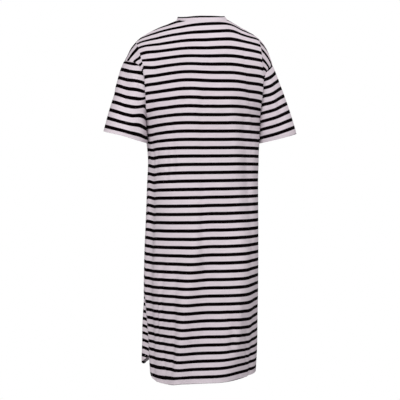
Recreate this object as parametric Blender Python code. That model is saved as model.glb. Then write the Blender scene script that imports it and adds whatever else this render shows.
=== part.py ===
"""T-shirt dress in striped cotton jersey, held in its worn shape: five cloth pieces.

Frame: metres, +Z up, front at -Y, wearer's left at +X, origin at the middle of the shoulder line.
Each piece is an open middle surface, laid out as a grid and given its wall by extruding the surface.
"""
import math

import bmesh
import bpy
import numpy as np
from mathutils import Vector, kdtree

# ---- driving dimensions (metres, radians) ----
WALL = 0.0015
SEAM_GAP = 0.0004
MERGE = 0.00001
# longest corner step, in half walls, and the share below which a corner counts as flat
MAX_MITRE = 2.6
MITRE_BLUNT = 0.05

UNDERARM_Z = -0.315
HEM_Z = {"back": -1.108, "front": -1.076}
HEM_TILT = 0.004
SLIT_TOP_Z = -0.848
CORNER_WIDTH = 0.055
CORNER_HEIGHT = {"back": 0.024, "front": 0.042}
HALF_GIRTH = 0.262
SIDE_LEAN = 0.018

NECK_SHARE = 0.36
NECK_RISE = {"back": 0.765, "front": 0.600}
NECK_ROUND = {"back": 2.2, "front": 2.9}
BAND_RISE = {"side": 0.0115, "middle": 0.0155}
BAND_LEAN = {"side": 0.0095, "middle": 0.0060}

SECTION_POWER = {"left": 2.21, "right": 2.29}
SECTION_SAMPLES = 121
TYPICAL_HALF_WIDTH = 0.178
TYPICAL_DEPTH = 0.135
SHIFT_FADE = 0.15
SLIT_GROWTH = 1.3
SLIT_SWING = 0.034
SLIT_LAP = 0.014
SLIT_TUCK = {"back": 0.018, "front": 0.031}
SLIT_FLARE = 0.009
SLIT_TUCK_RATE = 4.0
SLIT_SIDE = {"left": 1.0, "right": 0.6}
SLIT_CURL_FROM = 0.84

CUFF_TILT = math.radians(14.5)
# side, centre_x, centre_y, centre_z, half_width, half_depth
CUFFS = {
    "left": (0.2485, 0.014, -0.3745, 0.0655, 0.057),
    "right": (0.2485, 0.014, -0.3725, 0.0655, 0.057),
}
SLEEVE_START = (0.38, 0.0, -0.93)
SLEEVE_UNDER = (0.045, 0.0, 0.004)
SLEEVE_FLARE = 0.12

# height, half_width, back_depth, front_depth, shift_x of the body sections
SECTIONS = (
    (-0.315, 0.1751, 0.1290, 0.1500, -0.0060),
    (-0.450, 0.1752, 0.1310, 0.1440, -0.0056),
    (-0.650, 0.1778, 0.1380, 0.1400, -0.0010),
    (-0.850, 0.1795, 0.1470, 0.1410, 0.0008),
    (-1.000, 0.1790, 0.1510, 0.1440, 0.0020),
    (-1.120, 0.1840, 0.1520, 0.1470, 0.0080),
)
# share, x, y, z of the line the cloth hangs over, from behind the neck to the end of the shoulder
HANGER = (
    (-0.09, -0.0205, 0.0102, 0.0225),
    (0.00, 0.0000, 0.0100, 0.0235),
    (0.09, 0.0205, 0.0102, 0.0225),
    (0.18, 0.0412, 0.0108, 0.0175),
    (0.27, 0.0617, 0.0114, 0.0085),
    (0.36, 0.0815, 0.0120, -0.0020),
    (0.50, 0.1130, 0.0160, -0.0185),
    (0.64, 0.1480, 0.0190, -0.0355),
    (0.76, 0.1790, 0.0170, -0.0520),
    (0.86, 0.2050, 0.0110, -0.0710),
    (0.93, 0.2235, 0.0050, -0.0960),
    (1.00, 0.2395, 0.0000, -0.1410),
)
# x, y, z of the armhole seam, from the underarm to the end of the shoulder
ARMHOLE = {
    "back": (
        (0.1751, 0.000, -0.3150),
        (0.1757, 0.018, -0.3085),
        (0.1784, 0.039, -0.2870),
        (0.1850, 0.054, -0.2350),
        (0.1910, 0.054, -0.1930),
        (0.2040, 0.047, -0.1640),
        (0.2210, 0.032, -0.1490),
        (0.2350, 0.015, -0.1420),
        (0.2395, 0.000, -0.1410),
    ),
    "front": (
        (0.1751, 0.000, -0.3150),
        (0.1757, -0.021, -0.3080),
        (0.1775, -0.045, -0.2860),
        (0.1825, -0.066, -0.2350),
        (0.1900, -0.066, -0.1930),
        (0.2030, -0.055, -0.1640),
        (0.2200, -0.036, -0.1490),
        (0.2350, -0.016, -0.1420),
        (0.2395, 0.000, -0.1410),
    ),
}
# rise, share of the section the panel still covers beside the armhole
ARMHOLE_REACH = ((0.00, 1.00), (0.15, 0.865), (0.35, 0.775), (0.55, 0.785), (0.78, 0.92), (1.00, 1.00))
ARMHOLE_LAG = 1.6
LAG_REACH = 3
PULL_REACH = 4
# direction of the cloth where it reaches the hanger line: at the middle, at mid shoulder, at the end
HANGER_SLOPE = {
    "back": (
        (-0.15, -0.295, 0.053),
        (0.00, -0.300, 0.050),
        (0.15, -0.295, 0.053),
        (0.45, -0.255, 0.055),
        (1.00, -0.180, 0.080),
    ),
    "front": (
        (-0.15, 0.202, 0.080),
        (0.00, 0.200, 0.080),
        (0.15, 0.202, 0.080),
        (0.45, 0.250, 0.055),
        (1.00, 0.180, 0.080),
    ),
}
UNDERARM_RISE = {"back": (0.002, 0.33), "front": (-0.020, 0.33)}
# share_top, share_hem, half_width, height, start_z of each large fold
FOLDS = {
    "back": (
        (0.03, 0.45, 0.17, 0.0178, -0.49),
        (-0.69, -0.07, 0.39, 0.0200, -0.49),
        (0.06, 0.06, 0.17, -0.0040, -0.41),
        (0.77, 0.72, 0.29, -0.0053, -0.30),
        (0.86, 0.88, 0.06, -0.0030, -0.33),
        (-0.60, -0.55, 0.07, -0.0040, -0.80),
    ),
    "front": (
        (0.30, 0.42, 0.20, 0.0140, -0.45),
        (-0.20, -0.36, 0.22, 0.0150, -0.50),
        (0.05, 0.03, 0.14, -0.0050, -0.55),
        (-0.72, -0.70, 0.16, -0.0040, -0.38),
        (0.70, 0.74, 0.14, -0.0050, -0.42),
    ),
}
FOLD_GROWTH = 0.30
FOLD_TRAVEL = 0.80
SEAM_FADE = 0.10

NECK_COLUMNS = 7
SHOULDER_COLUMNS = 12
SIDE_CROWDING = 1.25
UPPER_ROWS = 17
BODY_ROWS = 11
SLIT_ROWS = 10
SLEEVE_ROWS = 12
BAND_ROWS = 3

CLOTH_COLOUR = (0.640, 0.560, 0.610, 1.0)
BAND_COLOUR = (0.660, 0.580, 0.630, 1.0)
CLOTH_ROUGHNESS = 0.85


# ---- small curve helpers ----
def smooth(share):
    """Ease a share 0..1 in and out."""
    share = np.clip(share, 0.0, 1.0)
    return share * share * (3.0 - 2.0 * share)


def hermite(start, start_slope, end, end_slope, share):
    """Cubic between two rows of points with given end slopes."""
    t = share[..., None]
    rise = t * t * (3.0 - 2.0 * t)
    lead = t * (1.0 - t) ** 2 * start_slope
    tail = t * t * (t - 1.0) * end_slope
    return (1.0 - rise) * start + rise * end + lead + tail


def table_row(rows, key):
    """Smooth row of a table at a key in its first column."""
    table = np.asarray(rows, dtype=float)
    table = table[np.argsort(table[:, 0])]
    keys, values = table[:, 0], table[:, 1:]
    slopes = np.gradient(values, keys, axis=0)
    key = np.clip(np.asarray(key, dtype=float), keys[0], keys[-1])
    k = np.clip(np.searchsorted(keys, key, side="right") - 1, 0, len(keys) - 2)
    step = keys[k + 1] - keys[k]
    share = (key - keys[k]) / step
    span = step[..., None]
    return hermite(values[k], slopes[k] * span, values[k + 1], slopes[k + 1] * span, share)


def along(points, share):
    """Points at shares of the length of a smooth curve through a table of points."""
    path = np.asarray(points, dtype=float)
    length = np.cumsum(np.linalg.norm(np.diff(path, axis=0), axis=1))
    keys = np.concatenate([[0.0], length]) / length[-1]
    return table_row(np.column_stack([keys, path]), share)


# ---- body: sections below the underarm ----
def quarter_section(share, power):
    """Across and outward factors of a quarter section at shares of its length, middle to side."""
    angle = np.linspace(0.0, math.pi / 2.0, SECTION_SAMPLES)
    reach = (np.sin(angle) ** power + np.cos(angle) ** power) ** (-1.0 / power)
    across, outward = reach * np.sin(angle), reach * np.cos(angle)
    steps = np.hypot(np.diff(across) * TYPICAL_HALF_WIDTH, np.diff(outward) * TYPICAL_DEPTH)
    length = np.concatenate([[0.0], np.cumsum(steps)])
    length = length / length[-1]
    return np.interp(share, length, across), np.interp(share, length, outward)


def fold_height(panel, share, height):
    """How far the large folds stand out from the section."""
    total = np.zeros_like(share)
    travel = np.clip((UNDERARM_Z - height) / FOLD_TRAVEL, 0.0, 1.0)
    for share_top, share_hem, half_width, rise, start_z in FOLDS[panel]:
        centre = share_top + (share_hem - share_top) * travel
        growth = smooth((start_z - height) / FOLD_GROWTH)
        total = total + rise * growth * np.exp(-2.0 * ((share - centre) / half_width) ** 2)
    return total * smooth((1.0 - np.abs(share)) / SEAM_FADE)


def slit_opening(height):
    """0 above the side slit, growing to 1 at the hem."""
    return np.clip((SLIT_TOP_Z - height) / (SLIT_TOP_Z - HEM_Z["back"]), 0.0, 1.0)


def body_point(panel, share, height):
    """Middle surface below the underarm; share -1 at the wearer's right seam, 1 at the left."""
    share, height = np.broadcast_arrays(np.asarray(share, float), np.asarray(height, float))
    half, back_depth, front_depth, shift = np.moveaxis(table_row(SECTIONS, height), -1, 0)
    left = share > 0.0
    reach = np.abs(share)
    across_left, out_left = quarter_section(reach, SECTION_POWER["left"])
    across_right, out_right = quarter_section(reach, SECTION_POWER["right"])
    across = np.where(left, across_left, across_right)
    outward = np.where(left, out_left, out_right)
    opening = slit_opening(height)
    side = np.where(left, SLIT_SIDE["left"], SLIT_SIDE["right"])
    edge_y = SLIT_SWING * side * opening ** SLIT_GROWTH
    if panel == "back":
        x = (half - SLIT_TUCK["back"] * side * opening ** SLIT_GROWTH) * across
        y = edge_y + (back_depth - edge_y) * outward
        facing = 1.0
    else:
        edge_y = edge_y + SLIT_LAP * side * opening ** 2
        curl = smooth((reach - SLIT_CURL_FROM) / (1.0 - SLIT_CURL_FROM))
        flare = SLIT_FLARE * side ** 2 * smooth(opening * 2.0)
        x = (half + flare) * across - SLIT_TUCK["front"] * smooth(opening * SLIT_TUCK_RATE) * curl
        y = edge_y - (front_depth + edge_y) * outward
        facing = -1.0
    fold = fold_height(panel, share, height)
    x = np.sign(share) * (x + fold * across)
    y = y + facing * fold * outward
    x = x + shift * smooth((UNDERARM_Z - height) / SHIFT_FADE)
    return np.stack([x, y, height], axis=-1)


def hem_height(panel, share):
    """Height of the hem, rising round the corner at each slit."""
    into_corner = np.clip(1.0 - (1.0 - np.abs(share)) * HALF_GIRTH / CORNER_WIDTH, 0.0, 1.0)
    level = HEM_Z[panel] - HEM_TILT * share
    return level + CORNER_HEIGHT[panel] * (1.0 - np.sqrt(1.0 - into_corner ** 2))


# ---- body: from the underarm over the shoulder ----
def armhole_point(panel, rise):
    """Armhole seam at a share of the way from the underarm to the end of the shoulder."""
    return along(ARMHOLE[panel], rise)


def over_point(panel, reach, rise):
    """Smooth surface over the upper body, reaching under the arm to the side line."""
    start = body_point(panel, reach, np.full_like(reach, UNDERARM_Z))
    start_slope = np.array([0.0, *UNDERARM_RISE[panel]])
    end = table_row(HANGER, reach)
    slope_yz = table_row(HANGER_SLOPE[panel], reach)
    end_slope = np.concatenate([np.zeros_like(slope_yz[..., :1]), slope_yz], axis=-1)
    return hermite(start, start_slope, end, end_slope, rise)


def yoke_point(panel, share, rise):
    """Middle surface above the underarm, drawn in to the armhole; rise 0 underarm, 1 shoulder."""
    share, rise = np.broadcast_arrays(np.asarray(share, float), np.asarray(rise, float))
    reach = np.abs(share)
    to_armhole = table_row(ARMHOLE_REACH, rise)[..., 0]
    edge_rise = rise ** ARMHOLE_LAG
    column_rise = rise + (edge_rise - rise) * reach ** LAG_REACH
    edge = over_point(panel, to_armhole, edge_rise)
    pull = armhole_point(panel, rise) - edge
    pulled = pull * (reach ** PULL_REACH)[..., None]
    point = over_point(panel, reach * to_armhole, column_rise) + pulled
    point[..., 0] *= np.where(share < 0.0, -1.0, 1.0)
    return point


def top_rise(panel, share):
    """Rise at which each column ends: round the neck opening, then along the shoulder."""
    off_centre = np.clip(np.abs(share) / NECK_SHARE, 0.0, 1.0)
    return 1.0 - (1.0 - NECK_RISE[panel]) * np.sqrt(1.0 - off_centre ** NECK_ROUND[panel])


def panel_point(panel, share, level):
    """Middle surface of a panel; level -2 hem, -1 top of slit, 0 underarm, 1 top edge."""
    share = np.asarray(share, float)
    level = np.asarray(level, float)
    above_slit = UNDERARM_Z + (UNDERARM_Z - SLIT_TOP_Z) * np.clip(level, -1.0, 0.0)
    below_slit = (SLIT_TOP_Z - hem_height(panel, share)) * np.minimum(level + 1.0, 0.0)
    low = body_point(panel, share, above_slit + below_slit)
    high = yoke_point(panel, share, np.maximum(level, 0.0) * top_rise(panel, share))
    point = np.where((level > 0.0)[..., None], high, low)
    return lean(point)


def lean(point):
    """Slight sideways lean of the whole garment."""
    leaned = point.copy()
    leaned[..., 2] = leaned[..., 2] - SIDE_LEAN * leaned[..., 0]
    return leaned


# ---- sleeves and neckband ----
def sleeve_point(side, around, down):
    """Middle surface of a sleeve; around 0 at the top, 0.25 behind, 0.5 at the underarm."""
    around, down = np.broadcast_arrays(np.asarray(around, float), np.asarray(down, float))
    turn = around % 1.0
    back = armhole_point("back", np.clip(1.0 - 2.0 * turn, 0.0, 1.0))
    front = armhole_point("front", np.clip(2.0 * turn - 1.0, 0.0, 1.0))
    start = np.where((turn < 0.5)[..., None], back, front)
    facing = 1.0 if side == "left" else -1.0
    start[..., 0] *= facing
    start = lean(start)
    start[..., 0] *= facing
    centre_x, centre_y, centre_z, half_width, half_depth = CUFFS[side]
    angle = turn * 2.0 * math.pi
    out = half_width * np.cos(angle)
    end_x = centre_x + out * math.cos(CUFF_TILT)
    end_y = centre_y + half_depth * np.sin(angle)
    end_z = centre_z + out * math.sin(CUFF_TILT)
    end = np.stack([end_x, end_y, end_z], axis=-1)
    length = np.linalg.norm(end - start, axis=-1)[..., None]
    under = (0.5 - 0.5 * np.cos(angle))[..., None] ** 2
    flare = np.stack([0.0 * angle, SLEEVE_FLARE * np.sin(angle), 0.0 * angle], axis=-1)
    over_slope = (np.array(SLEEVE_START) + flare) * length
    slope = (1.0 - under) * over_slope + under * np.array(SLEEVE_UNDER)
    axis = np.array([math.sin(CUFF_TILT), 0.0, -math.cos(CUFF_TILT)])
    point = hermite(start, slope, end, axis * length, down)
    point[..., 0] *= facing
    return point


def band_point(around, rise):
    """Middle surface of the neckband; around 0 at the centre back, 0.25 at the left shoulder."""
    quarter = (np.asarray(around, float) % 1.0) * 4.0
    back = (quarter <= 1.0) | (quarter >= 3.0)
    to_side = 1.0 - np.abs(quarter % 2.0 - 1.0)
    share = neck_shares(to_side) * np.where(quarter <= 2.0, 1.0, -1.0)
    level = np.ones_like(share)
    seam_back = panel_point("back", share, level)
    seam_front = panel_point("front", share, level)
    seam = np.where(back[..., None], seam_back, seam_front)
    angle = quarter * math.pi / 2.0
    inward_x = -BAND_LEAN["side"] * np.sin(angle)
    inward_y = -BAND_LEAN["middle"] * np.cos(angle)
    upward = BAND_RISE["middle"] + (BAND_RISE["side"] - BAND_RISE["middle"]) * np.sin(angle) ** 2
    inward = np.stack([inward_x, inward_y, upward], axis=-1)
    return seam + np.asarray(rise, float)[..., None] * inward


# ---- grids ----
def neck_shares(turn):
    """Shares of the neck seam at turns 0..1 from the middle to the shoulder."""
    return NECK_SHARE * np.sin(np.asarray(turn) * math.pi / 2.0)


def panel_shares():
    """Column shares of a panel: even across the body, and even round the neck at the top."""
    turn = np.linspace(0.0, 1.0, NECK_COLUMNS + 1)
    spread = 1.0 - (1.0 - np.linspace(0.0, 1.0, SHOULDER_COLUMNS + 1)[1:]) ** SIDE_CROWDING
    shoulder = NECK_SHARE + (1.0 - NECK_SHARE) * spread
    rows = []
    for neck in (NECK_SHARE * turn, neck_shares(turn)):
        half = np.concatenate([neck, shoulder])
        rows.append(np.concatenate([-half[:0:-1], half]))
    return rows


def panel_levels():
    """Row levels of a panel, with a row at the top of the slit."""
    low = np.linspace(-2.0, -1.0, SLIT_ROWS + 1)
    body = np.linspace(-1.0, 0.0, BODY_ROWS + 1)
    high = np.linspace(0.0, 1.0, UPPER_ROWS + 1)
    return np.concatenate([low, body[1:], high[1:]])


def panel_surface(panel):
    """Grid of a panel, facing outwards: columns across, rows up."""
    even, top = panel_shares()
    level = np.tile(panel_levels(), (len(even), 1))
    share = even[:, None] + (top - even)[:, None] * np.clip(level, 0.0, 1.0)
    points = panel_point(panel, share, level)
    return points[::-1] if panel == "back" else points


def sleeve_surface(side):
    """Grid of a sleeve, facing outwards: columns around, rows down to the cuff."""
    around = np.linspace(0.0, 1.0, 2 * UPPER_ROWS + 1)
    down = np.linspace(0.0, 1.0, SLEEVE_ROWS + 1)
    around, down = np.meshgrid(around, down, indexing="ij")
    points = sleeve_point(side, around, down)
    return points[::-1] if side == "left" else points


def band_surface():
    """Grid of the neckband, facing outwards: columns around, rows up."""
    around = np.linspace(0.0, 1.0, 4 * NECK_COLUMNS + 1)
    rise = np.linspace(0.0, 1.0, BAND_ROWS + 1)
    around, rise = np.meshgrid(around, rise, indexing="ij")
    return band_point(around, rise)[::-1]


def open_surface(points):
    """Open mesh of a grid of points, closed into a tube where its ends meet."""
    columns, rows = points.shape[0] - 1, points.shape[1] - 1
    mesh = bmesh.new()
    bmesh.ops.create_grid(mesh, x_segments=columns, y_segments=rows, size=1.0)
    for vert in mesh.verts:
        column = round((vert.co.x + 1.0) / 2.0 * columns)
        row = round((vert.co.y + 1.0) / 2.0 * rows)
        vert.co = Vector(points[column, row])
    bmesh.ops.remove_doubles(mesh, verts=mesh.verts, dist=MERGE)
    return mesh


# ---- seams and walls ----
def sewn_normals(meshes):
    """Lookup of the surface normals of every piece that reaches a point."""
    tree = kdtree.KDTree(sum(len(mesh.verts) for mesh in meshes.values()))
    normals = []
    for mesh in meshes.values():
        mesh.normal_update()
        for vert in mesh.verts:
            tree.insert(vert.co, len(normals))
            normals.append(vert.normal.copy())
    tree.balance()
    return tree, normals


def mitre_at(point, sewn):
    """Pieces that meet at a point, and the step that clears each of them by one unit."""
    tree, normals = sewn
    facing = np.array([normals[hit[1]] for hit in tree.find_range(point, MERGE)])
    step = Vector(np.linalg.lstsq(facing, np.ones(len(facing)), rcond=MITRE_BLUNT)[0])
    if step.length > MAX_MITRE:
        step.length = MAX_MITRE
    return len(facing), step


def seam_step(vert, meeting, mitre):
    """How far a border point steps back into its own piece to leave half a seam gap."""
    borders = [edge for edge in vert.link_edges if edge.is_boundary]
    seams = [edge for edge in borders if meeting[edge.other_vert(vert)] > 1]
    if meeting[vert] == 1 or not seams:
        return Vector()
    inner = Vector()
    for face in vert.link_faces:
        inner += face.calc_center_median() - vert.co
    steps = []
    for edge in seams:
        tangent = (edge.other_vert(vert).co - vert.co).normalized()
        step = inner - inner.dot(tangent) * tangent
        step -= step.dot(vert.normal) * vert.normal
        steps.append(step.normalized())
    total = sum(steps, Vector()).normalized()
    lengthen = 1.0 / max(total.dot(steps[0]), 0.5)
    return total * (SEAM_GAP / 2.0 * mitre.length * lengthen)


def cloth_wall(mesh, sewn):
    """Give an open piece its seam gaps, then its wall: both faces step off the middle surface."""
    meeting, mitre = {}, {}
    for vert in mesh.verts:
        meeting[vert], mitre[vert] = mitre_at(vert.co, sewn)
    gaps = {vert: seam_step(vert, meeting, mitre[vert]) for vert in mesh.verts if vert.is_boundary}
    for vert, gap in gaps.items():
        vert.co += gap
    inner = list(mesh.verts)
    half_wall = {tuple(vert.co): mitre[vert] * (WALL / 2.0) for vert in inner}
    grown = bmesh.ops.extrude_face_region(mesh, geom=list(mesh.faces), use_keep_orig=True)
    outer = [item for item in grown["geom"] if isinstance(item, bmesh.types.BMVert)]
    for vert in outer:
        vert.co += half_wall[tuple(vert.co)]
    for vert in inner:
        vert.co -= half_wall[tuple(vert.co)]
    bmesh.ops.recalc_face_normals(mesh, faces=mesh.faces)


# ---- scene ----
def clear_scene():
    """Remove whatever the scene started with."""
    for item in list(bpy.data.objects):
        bpy.data.objects.remove(item, do_unlink=True)


def cloth_material(name, colour):
    """Matt cotton jersey."""
    material = bpy.data.materials.new(name)
    material.use_nodes = True
    shader = material.node_tree.nodes["Principled BSDF"]
    shader.inputs["Base Color"].default_value = colour
    shader.inputs["Roughness"].default_value = CLOTH_ROUGHNESS
    shader.inputs["Metallic"].default_value = 0.0
    return material


def add_piece(name, mesh, colour, collection):
    """Add one named cloth piece with its own material."""
    data = bpy.data.meshes.new(name)
    mesh.to_mesh(data)
    mesh.free()
    data.materials.append(cloth_material(name + "_cloth", colour))
    data.shade_smooth()
    piece = bpy.data.objects.new(name, data)
    collection.objects.link(piece)
    return piece


def main():
    """Build the five pieces of the dress."""
    clear_scene()
    garment = bpy.data.collections.new("t_shirt_dress")
    bpy.context.scene.collection.children.link(garment)
    surfaces = {
        "back": panel_surface("back"),
        "front": panel_surface("front"),
        "sleeve_left": sleeve_surface("left"),
        "sleeve_right": sleeve_surface("right"),
        "neckband": band_surface(),
    }
    meshes = {name: open_surface(surface) for name, surface in surfaces.items()}
    sewn = sewn_normals(meshes)
    for name, mesh in meshes.items():
        colour = BAND_COLOUR if name == "neckband" else CLOTH_COLOUR
        cloth_wall(mesh, sewn)
        add_piece(name, mesh, colour, garment)


main()
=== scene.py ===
"""Looks of a striped t-shirt dress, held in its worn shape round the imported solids.

Frame: metres, +Z up, front at -Y, wearer's left at +X, origin at the middle of the shoulder line.
"""
import logging
import math
from dataclasses import dataclass, field
from enum import Enum
from functools import cache
from typing import Any, Sequence

import bmesh
import bpy
import numpy as np
from mathutils import Matrix, Vector


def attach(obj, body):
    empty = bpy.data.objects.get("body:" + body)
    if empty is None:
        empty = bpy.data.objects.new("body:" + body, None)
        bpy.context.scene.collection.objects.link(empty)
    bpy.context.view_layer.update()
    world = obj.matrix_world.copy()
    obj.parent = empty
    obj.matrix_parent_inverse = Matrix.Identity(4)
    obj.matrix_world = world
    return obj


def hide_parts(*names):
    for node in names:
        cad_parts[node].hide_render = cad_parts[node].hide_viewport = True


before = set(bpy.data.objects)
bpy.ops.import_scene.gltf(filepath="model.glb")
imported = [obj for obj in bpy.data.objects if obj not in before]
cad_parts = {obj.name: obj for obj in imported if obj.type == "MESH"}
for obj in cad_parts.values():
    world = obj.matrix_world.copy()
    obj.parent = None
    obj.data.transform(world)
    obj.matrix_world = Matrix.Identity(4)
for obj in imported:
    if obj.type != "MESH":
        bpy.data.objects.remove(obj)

LOG = logging.getLogger("t_shirt_dress")
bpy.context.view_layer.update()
Array = np.ndarray
Rows = Sequence[Sequence[float]]

# ---- cloth and sewing sizes (metres) ----
HALF_WALL = 0.00075
CLOTH_THICK = 0.0012
HEM_THICK = 0.0024
HEM_DEPTH = 0.015
CUFF_HEM_DEPTH = 0.011
SLIT_HEM_DEPTH = 0.010
GROOVE_WIDTH = 0.0018
EDGE_RADIUS = 0.0011
# how far in from a free edge the cloth takes the edge's form
EDGE_REACH = 3.0 * EDGE_RADIUS
# shares of the outward offset and of the thickness left at the very edge
EDGE_TUCK = 0.25
EDGE_THIN = 0.2
# length over which a hem's second layer ends
HEM_EASE = 0.0015
# the ridge that the seam's allowance lifts beside it
SEAM_RIDGE = 0.00055
SEAM_RIDGE_AT = 0.0042
SEAM_RIDGE_WIDTH = 0.0026
# points closer than this are one, as where a ring closes
MERGE = 0.00001
# a distance out of reach of any edge or seam
FAR = 1.0
# distances from a border at which the cloth gets extra rows or columns
EDGE_STEPS = (0.0, 0.0006, 0.0014, 0.0028, 0.0048, 0.0072)
# distances from a fold line that get columns of their own
FOLD_STEPS = (0.0, 0.0014, 0.0034, 0.0060)
# spacing of rows and columns: where they aren't crowded, down the body, and across its middle
CLOTH_STEP = 0.0034
BODY_STEP = 0.0044
BROAD_STEP = 0.0050
# steps in which the length of a column is added up
LENGTH_STEPS = 40
# lengths that the rows above the underarm and down a sleeve are spread over
UPPER_LENGTH = 0.30
SLEEVE_LENGTH = 0.24
# points round a sleeve and round the neckband
SLEEVE_RING = 97
BAND_RING = 161
BAND_HEIGHT = 0.016
# how far from a seam the stitches still hold a crease down, on the body and on a sleeve
SEAM_HOLD = 0.008
SLEEVE_SEAM_HOLD = 0.012
# distances of the rows of stitching from the hem, from a slit's edge and from the cuff
HEM_STITCHES = (0.0095, 0.0130)
HEM_STITCHES_FROM = (0.0080, 0.0400)
SLIT_STITCHES = (0.0080,)
CUFF_STITCHES = (0.0060, 0.0085)
# soft waves of the hem between its stitches, and how they wander off an even length
HEM_WAVE = 0.0004
HEM_WAVE_LENGTH = 0.026
HEM_WANDER = 1.5
HEM_WANDER_RATE = 31.0
# share from which columns bend towards the fold line, and the column that lies on it
FOLD_FROM = 0.60
FOLD_SHARE = 0.93
UV_NAME = "cloth"
MM_PER_M = 1000.0

# ---- crease sizes ----
# share of its length over which a crease fades in and out, and how much of it there is at its very end
CREASE_FADE = 0.30
CREASE_END = 0.15
SHARPNESS = 1.6
# reach of a faint fold: length, lean, share of the full depth, width and bow
STREWN_LENGTH = (0.04, 0.17)
STREWN_LEAN = 0.16
STREWN_DEPTH = (0.35, 1.0)
STREWN_WIDTH = (0.005, 0.013)
STREWN_BOW = 0.004
# how far across a panel they are strewn
PANEL_REACH = (-0.26, 0.26)

# ---- stripes, counted down from the neck ----
# both counts are fitted curves, so their terms mean nothing one by one
STRIPE_REPEAT = 0.0248
# the body's count by the cube, square and first power of the height, and the count at height 0
BODY_COUNT = (-2.571, -3.654, -41.993, -1.684)
YOKE_LENGTH = 0.33
# factor, power of the rise above the underarm, power of the share across
YOKE_COUNT = (
    (-13.451, 1, 0),
    (1.0389, 2, 0),
    (2.4227, 1, 2),
    (-2.8655, 2, 2),
    (-0.0988, 2, 4),
    (-1.3236, 2, 1),
    (0.5152, 1, 1),
)
# how far the yoke's count runs ahead of the body's, and the rise over which it does
YOKE_STEP = 0.11
YOKE_STEP_RISE = 0.4

# ---- body sizes, the same as the solids' ----
UNDERARM_Z = -0.315
HEM_TILT = 0.004
SLIT_TOP_Z = -0.848
LOWEST_HEM_Z = -1.108
CORNER_WIDTH = 0.046
HALF_GIRTH = 0.262
SIDE_LEAN = 0.018
NECK_SHARE = 0.36
# how square the section is on each side, and what its length is shared out on
SECTION_POWER = {"left": 2.21, "right": 2.29}
SECTION_SAMPLES = 121
TYPICAL_HALF_WIDTH = 0.178
TYPICAL_DEPTH = 0.135
SHIFT_FADE = 0.15
# how the slits' edges hang towards the hem: the back's swings in, the front's laps, flares and tucks under
SLIT_GROWTH = 1.3
SLIT_SWING = 0.034
SLIT_LAP = 0.014
SLIT_FLARE = 0.009
SLIT_TUCK_RATE = 4.0
SLIT_SIDE = {"left": 1.0, "right": 0.6}
SLIT_CURL_FROM = 0.84
# how far the side seam's last stitches reach below the top of the slit
SLIT_SEWN = 0.003
# heights over which a large fold grows and moves to its share at the hem, and the share it fades over
FOLD_GROWTH = 0.30
FOLD_TRAVEL = 0.80
SEAM_FADE = 0.10
# how the rows lag beside the armhole, and the powers of the share by which lag and pull die out inwards
ARMHOLE_LAG = 1.6
LAG_REACH = 3
PULL_REACH = 4
# height, half_width, back_depth, front_depth, shift_x of the body sections
SECTIONS = (
    (-0.315, 0.1751, 0.1290, 0.1500, -0.0060),
    (-0.450, 0.1752, 0.1310, 0.1440, -0.0056),
    (-0.650, 0.1778, 0.1380, 0.1400, -0.0010),
    (-0.850, 0.1795, 0.1470, 0.1410, 0.0008),
    (-1.000, 0.1790, 0.1510, 0.1440, 0.0020),
    (-1.120, 0.1840, 0.1520, 0.1470, 0.0080),
)
# share, x, y, z of the line the cloth hangs over, from behind the neck to the end of the shoulder
HANGER = (
    (-0.09, -0.0205, 0.0102, 0.0225),
    (0.00, 0.0000, 0.0100, 0.0235),
    (0.09, 0.0205, 0.0102, 0.0225),
    (0.18, 0.0412, 0.0108, 0.0175),
    (0.27, 0.0617, 0.0114, 0.0085),
    (0.36, 0.0815, 0.0120, -0.0020),
    (0.50, 0.1130, 0.0160, -0.0185),
    (0.64, 0.1480, 0.0190, -0.0355),
    (0.76, 0.1790, 0.0170, -0.0520),
    (0.86, 0.2050, 0.0110, -0.0710),
    (0.93, 0.2235, 0.0050, -0.0960),
    (1.00, 0.2395, 0.0000, -0.1410),
)
# rise, share of the section the panel still covers beside the armhole
ARMHOLE_REACH = ((0.00, 1.00), (0.15, 0.865), (0.35, 0.775), (0.55, 0.785), (0.78, 0.92), (1.00, 1.00))


class Face(Enum):
    """Which way a body panel faces."""

    BACK = "back"
    FRONT = "front"


class Arm(Enum):
    """The wearer's arm that a sleeve is for."""

    LEFT = "left"
    RIGHT = "right"


class Profile(Enum):
    """Shape of a crease across its line."""

    SOFT = "soft"
    SHARP = "sharp"


# ---- small curve helpers ----
def smooth(share: Array) -> Array:
    """Ease a share 0..1 in and out."""
    share = np.clip(share, 0.0, 1.0)
    return share * share * (3.0 - 2.0 * share)


def hermite(start: Array, start_slope: Array, end: Array, end_slope: Array, share: Array) -> Array:
    """Cubic between two rows of points with given end slopes.

    Args:
        start, end: Points at share 0 and 1.
        start_slope, end_slope: Directions there.
        share: How far along, 0..1.

    Returns:
        The points at the shares.
    """
    t = share[..., None]
    rise = t * t * (3.0 - 2.0 * t)
    lead = t * (1.0 - t) ** 2 * start_slope
    tail = t * t * (t - 1.0) * end_slope
    return (1.0 - rise) * start + rise * end + lead + tail


def table_row(rows: Rows, key: Array) -> Array:
    """Smooth row of a table at a key in its first column.

    Args:
        rows: The table, its key first in each row.
        key: Where to read it.

    Returns:
        The other columns at each key.
    """
    table = np.asarray(rows, dtype=float)
    table = table[np.argsort(table[:, 0])]
    keys, values = table[:, 0], table[:, 1:]
    slopes = np.gradient(values, keys, axis=0)
    key = np.clip(np.asarray(key, dtype=float), keys[0], keys[-1])
    k = np.clip(np.searchsorted(keys, key, side="right") - 1, 0, len(keys) - 2)
    step = keys[k + 1] - keys[k]
    share = (key - keys[k]) / step
    span = step[..., None]
    return hermite(values[k], slopes[k] * span, values[k + 1], slopes[k + 1] * span, share)


def run_length(points: Array) -> Array:
    """Length from the first point of a line to each of its points."""
    return np.concatenate([[0.0], np.cumsum(np.linalg.norm(np.diff(points, axis=0), axis=-1))])


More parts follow.
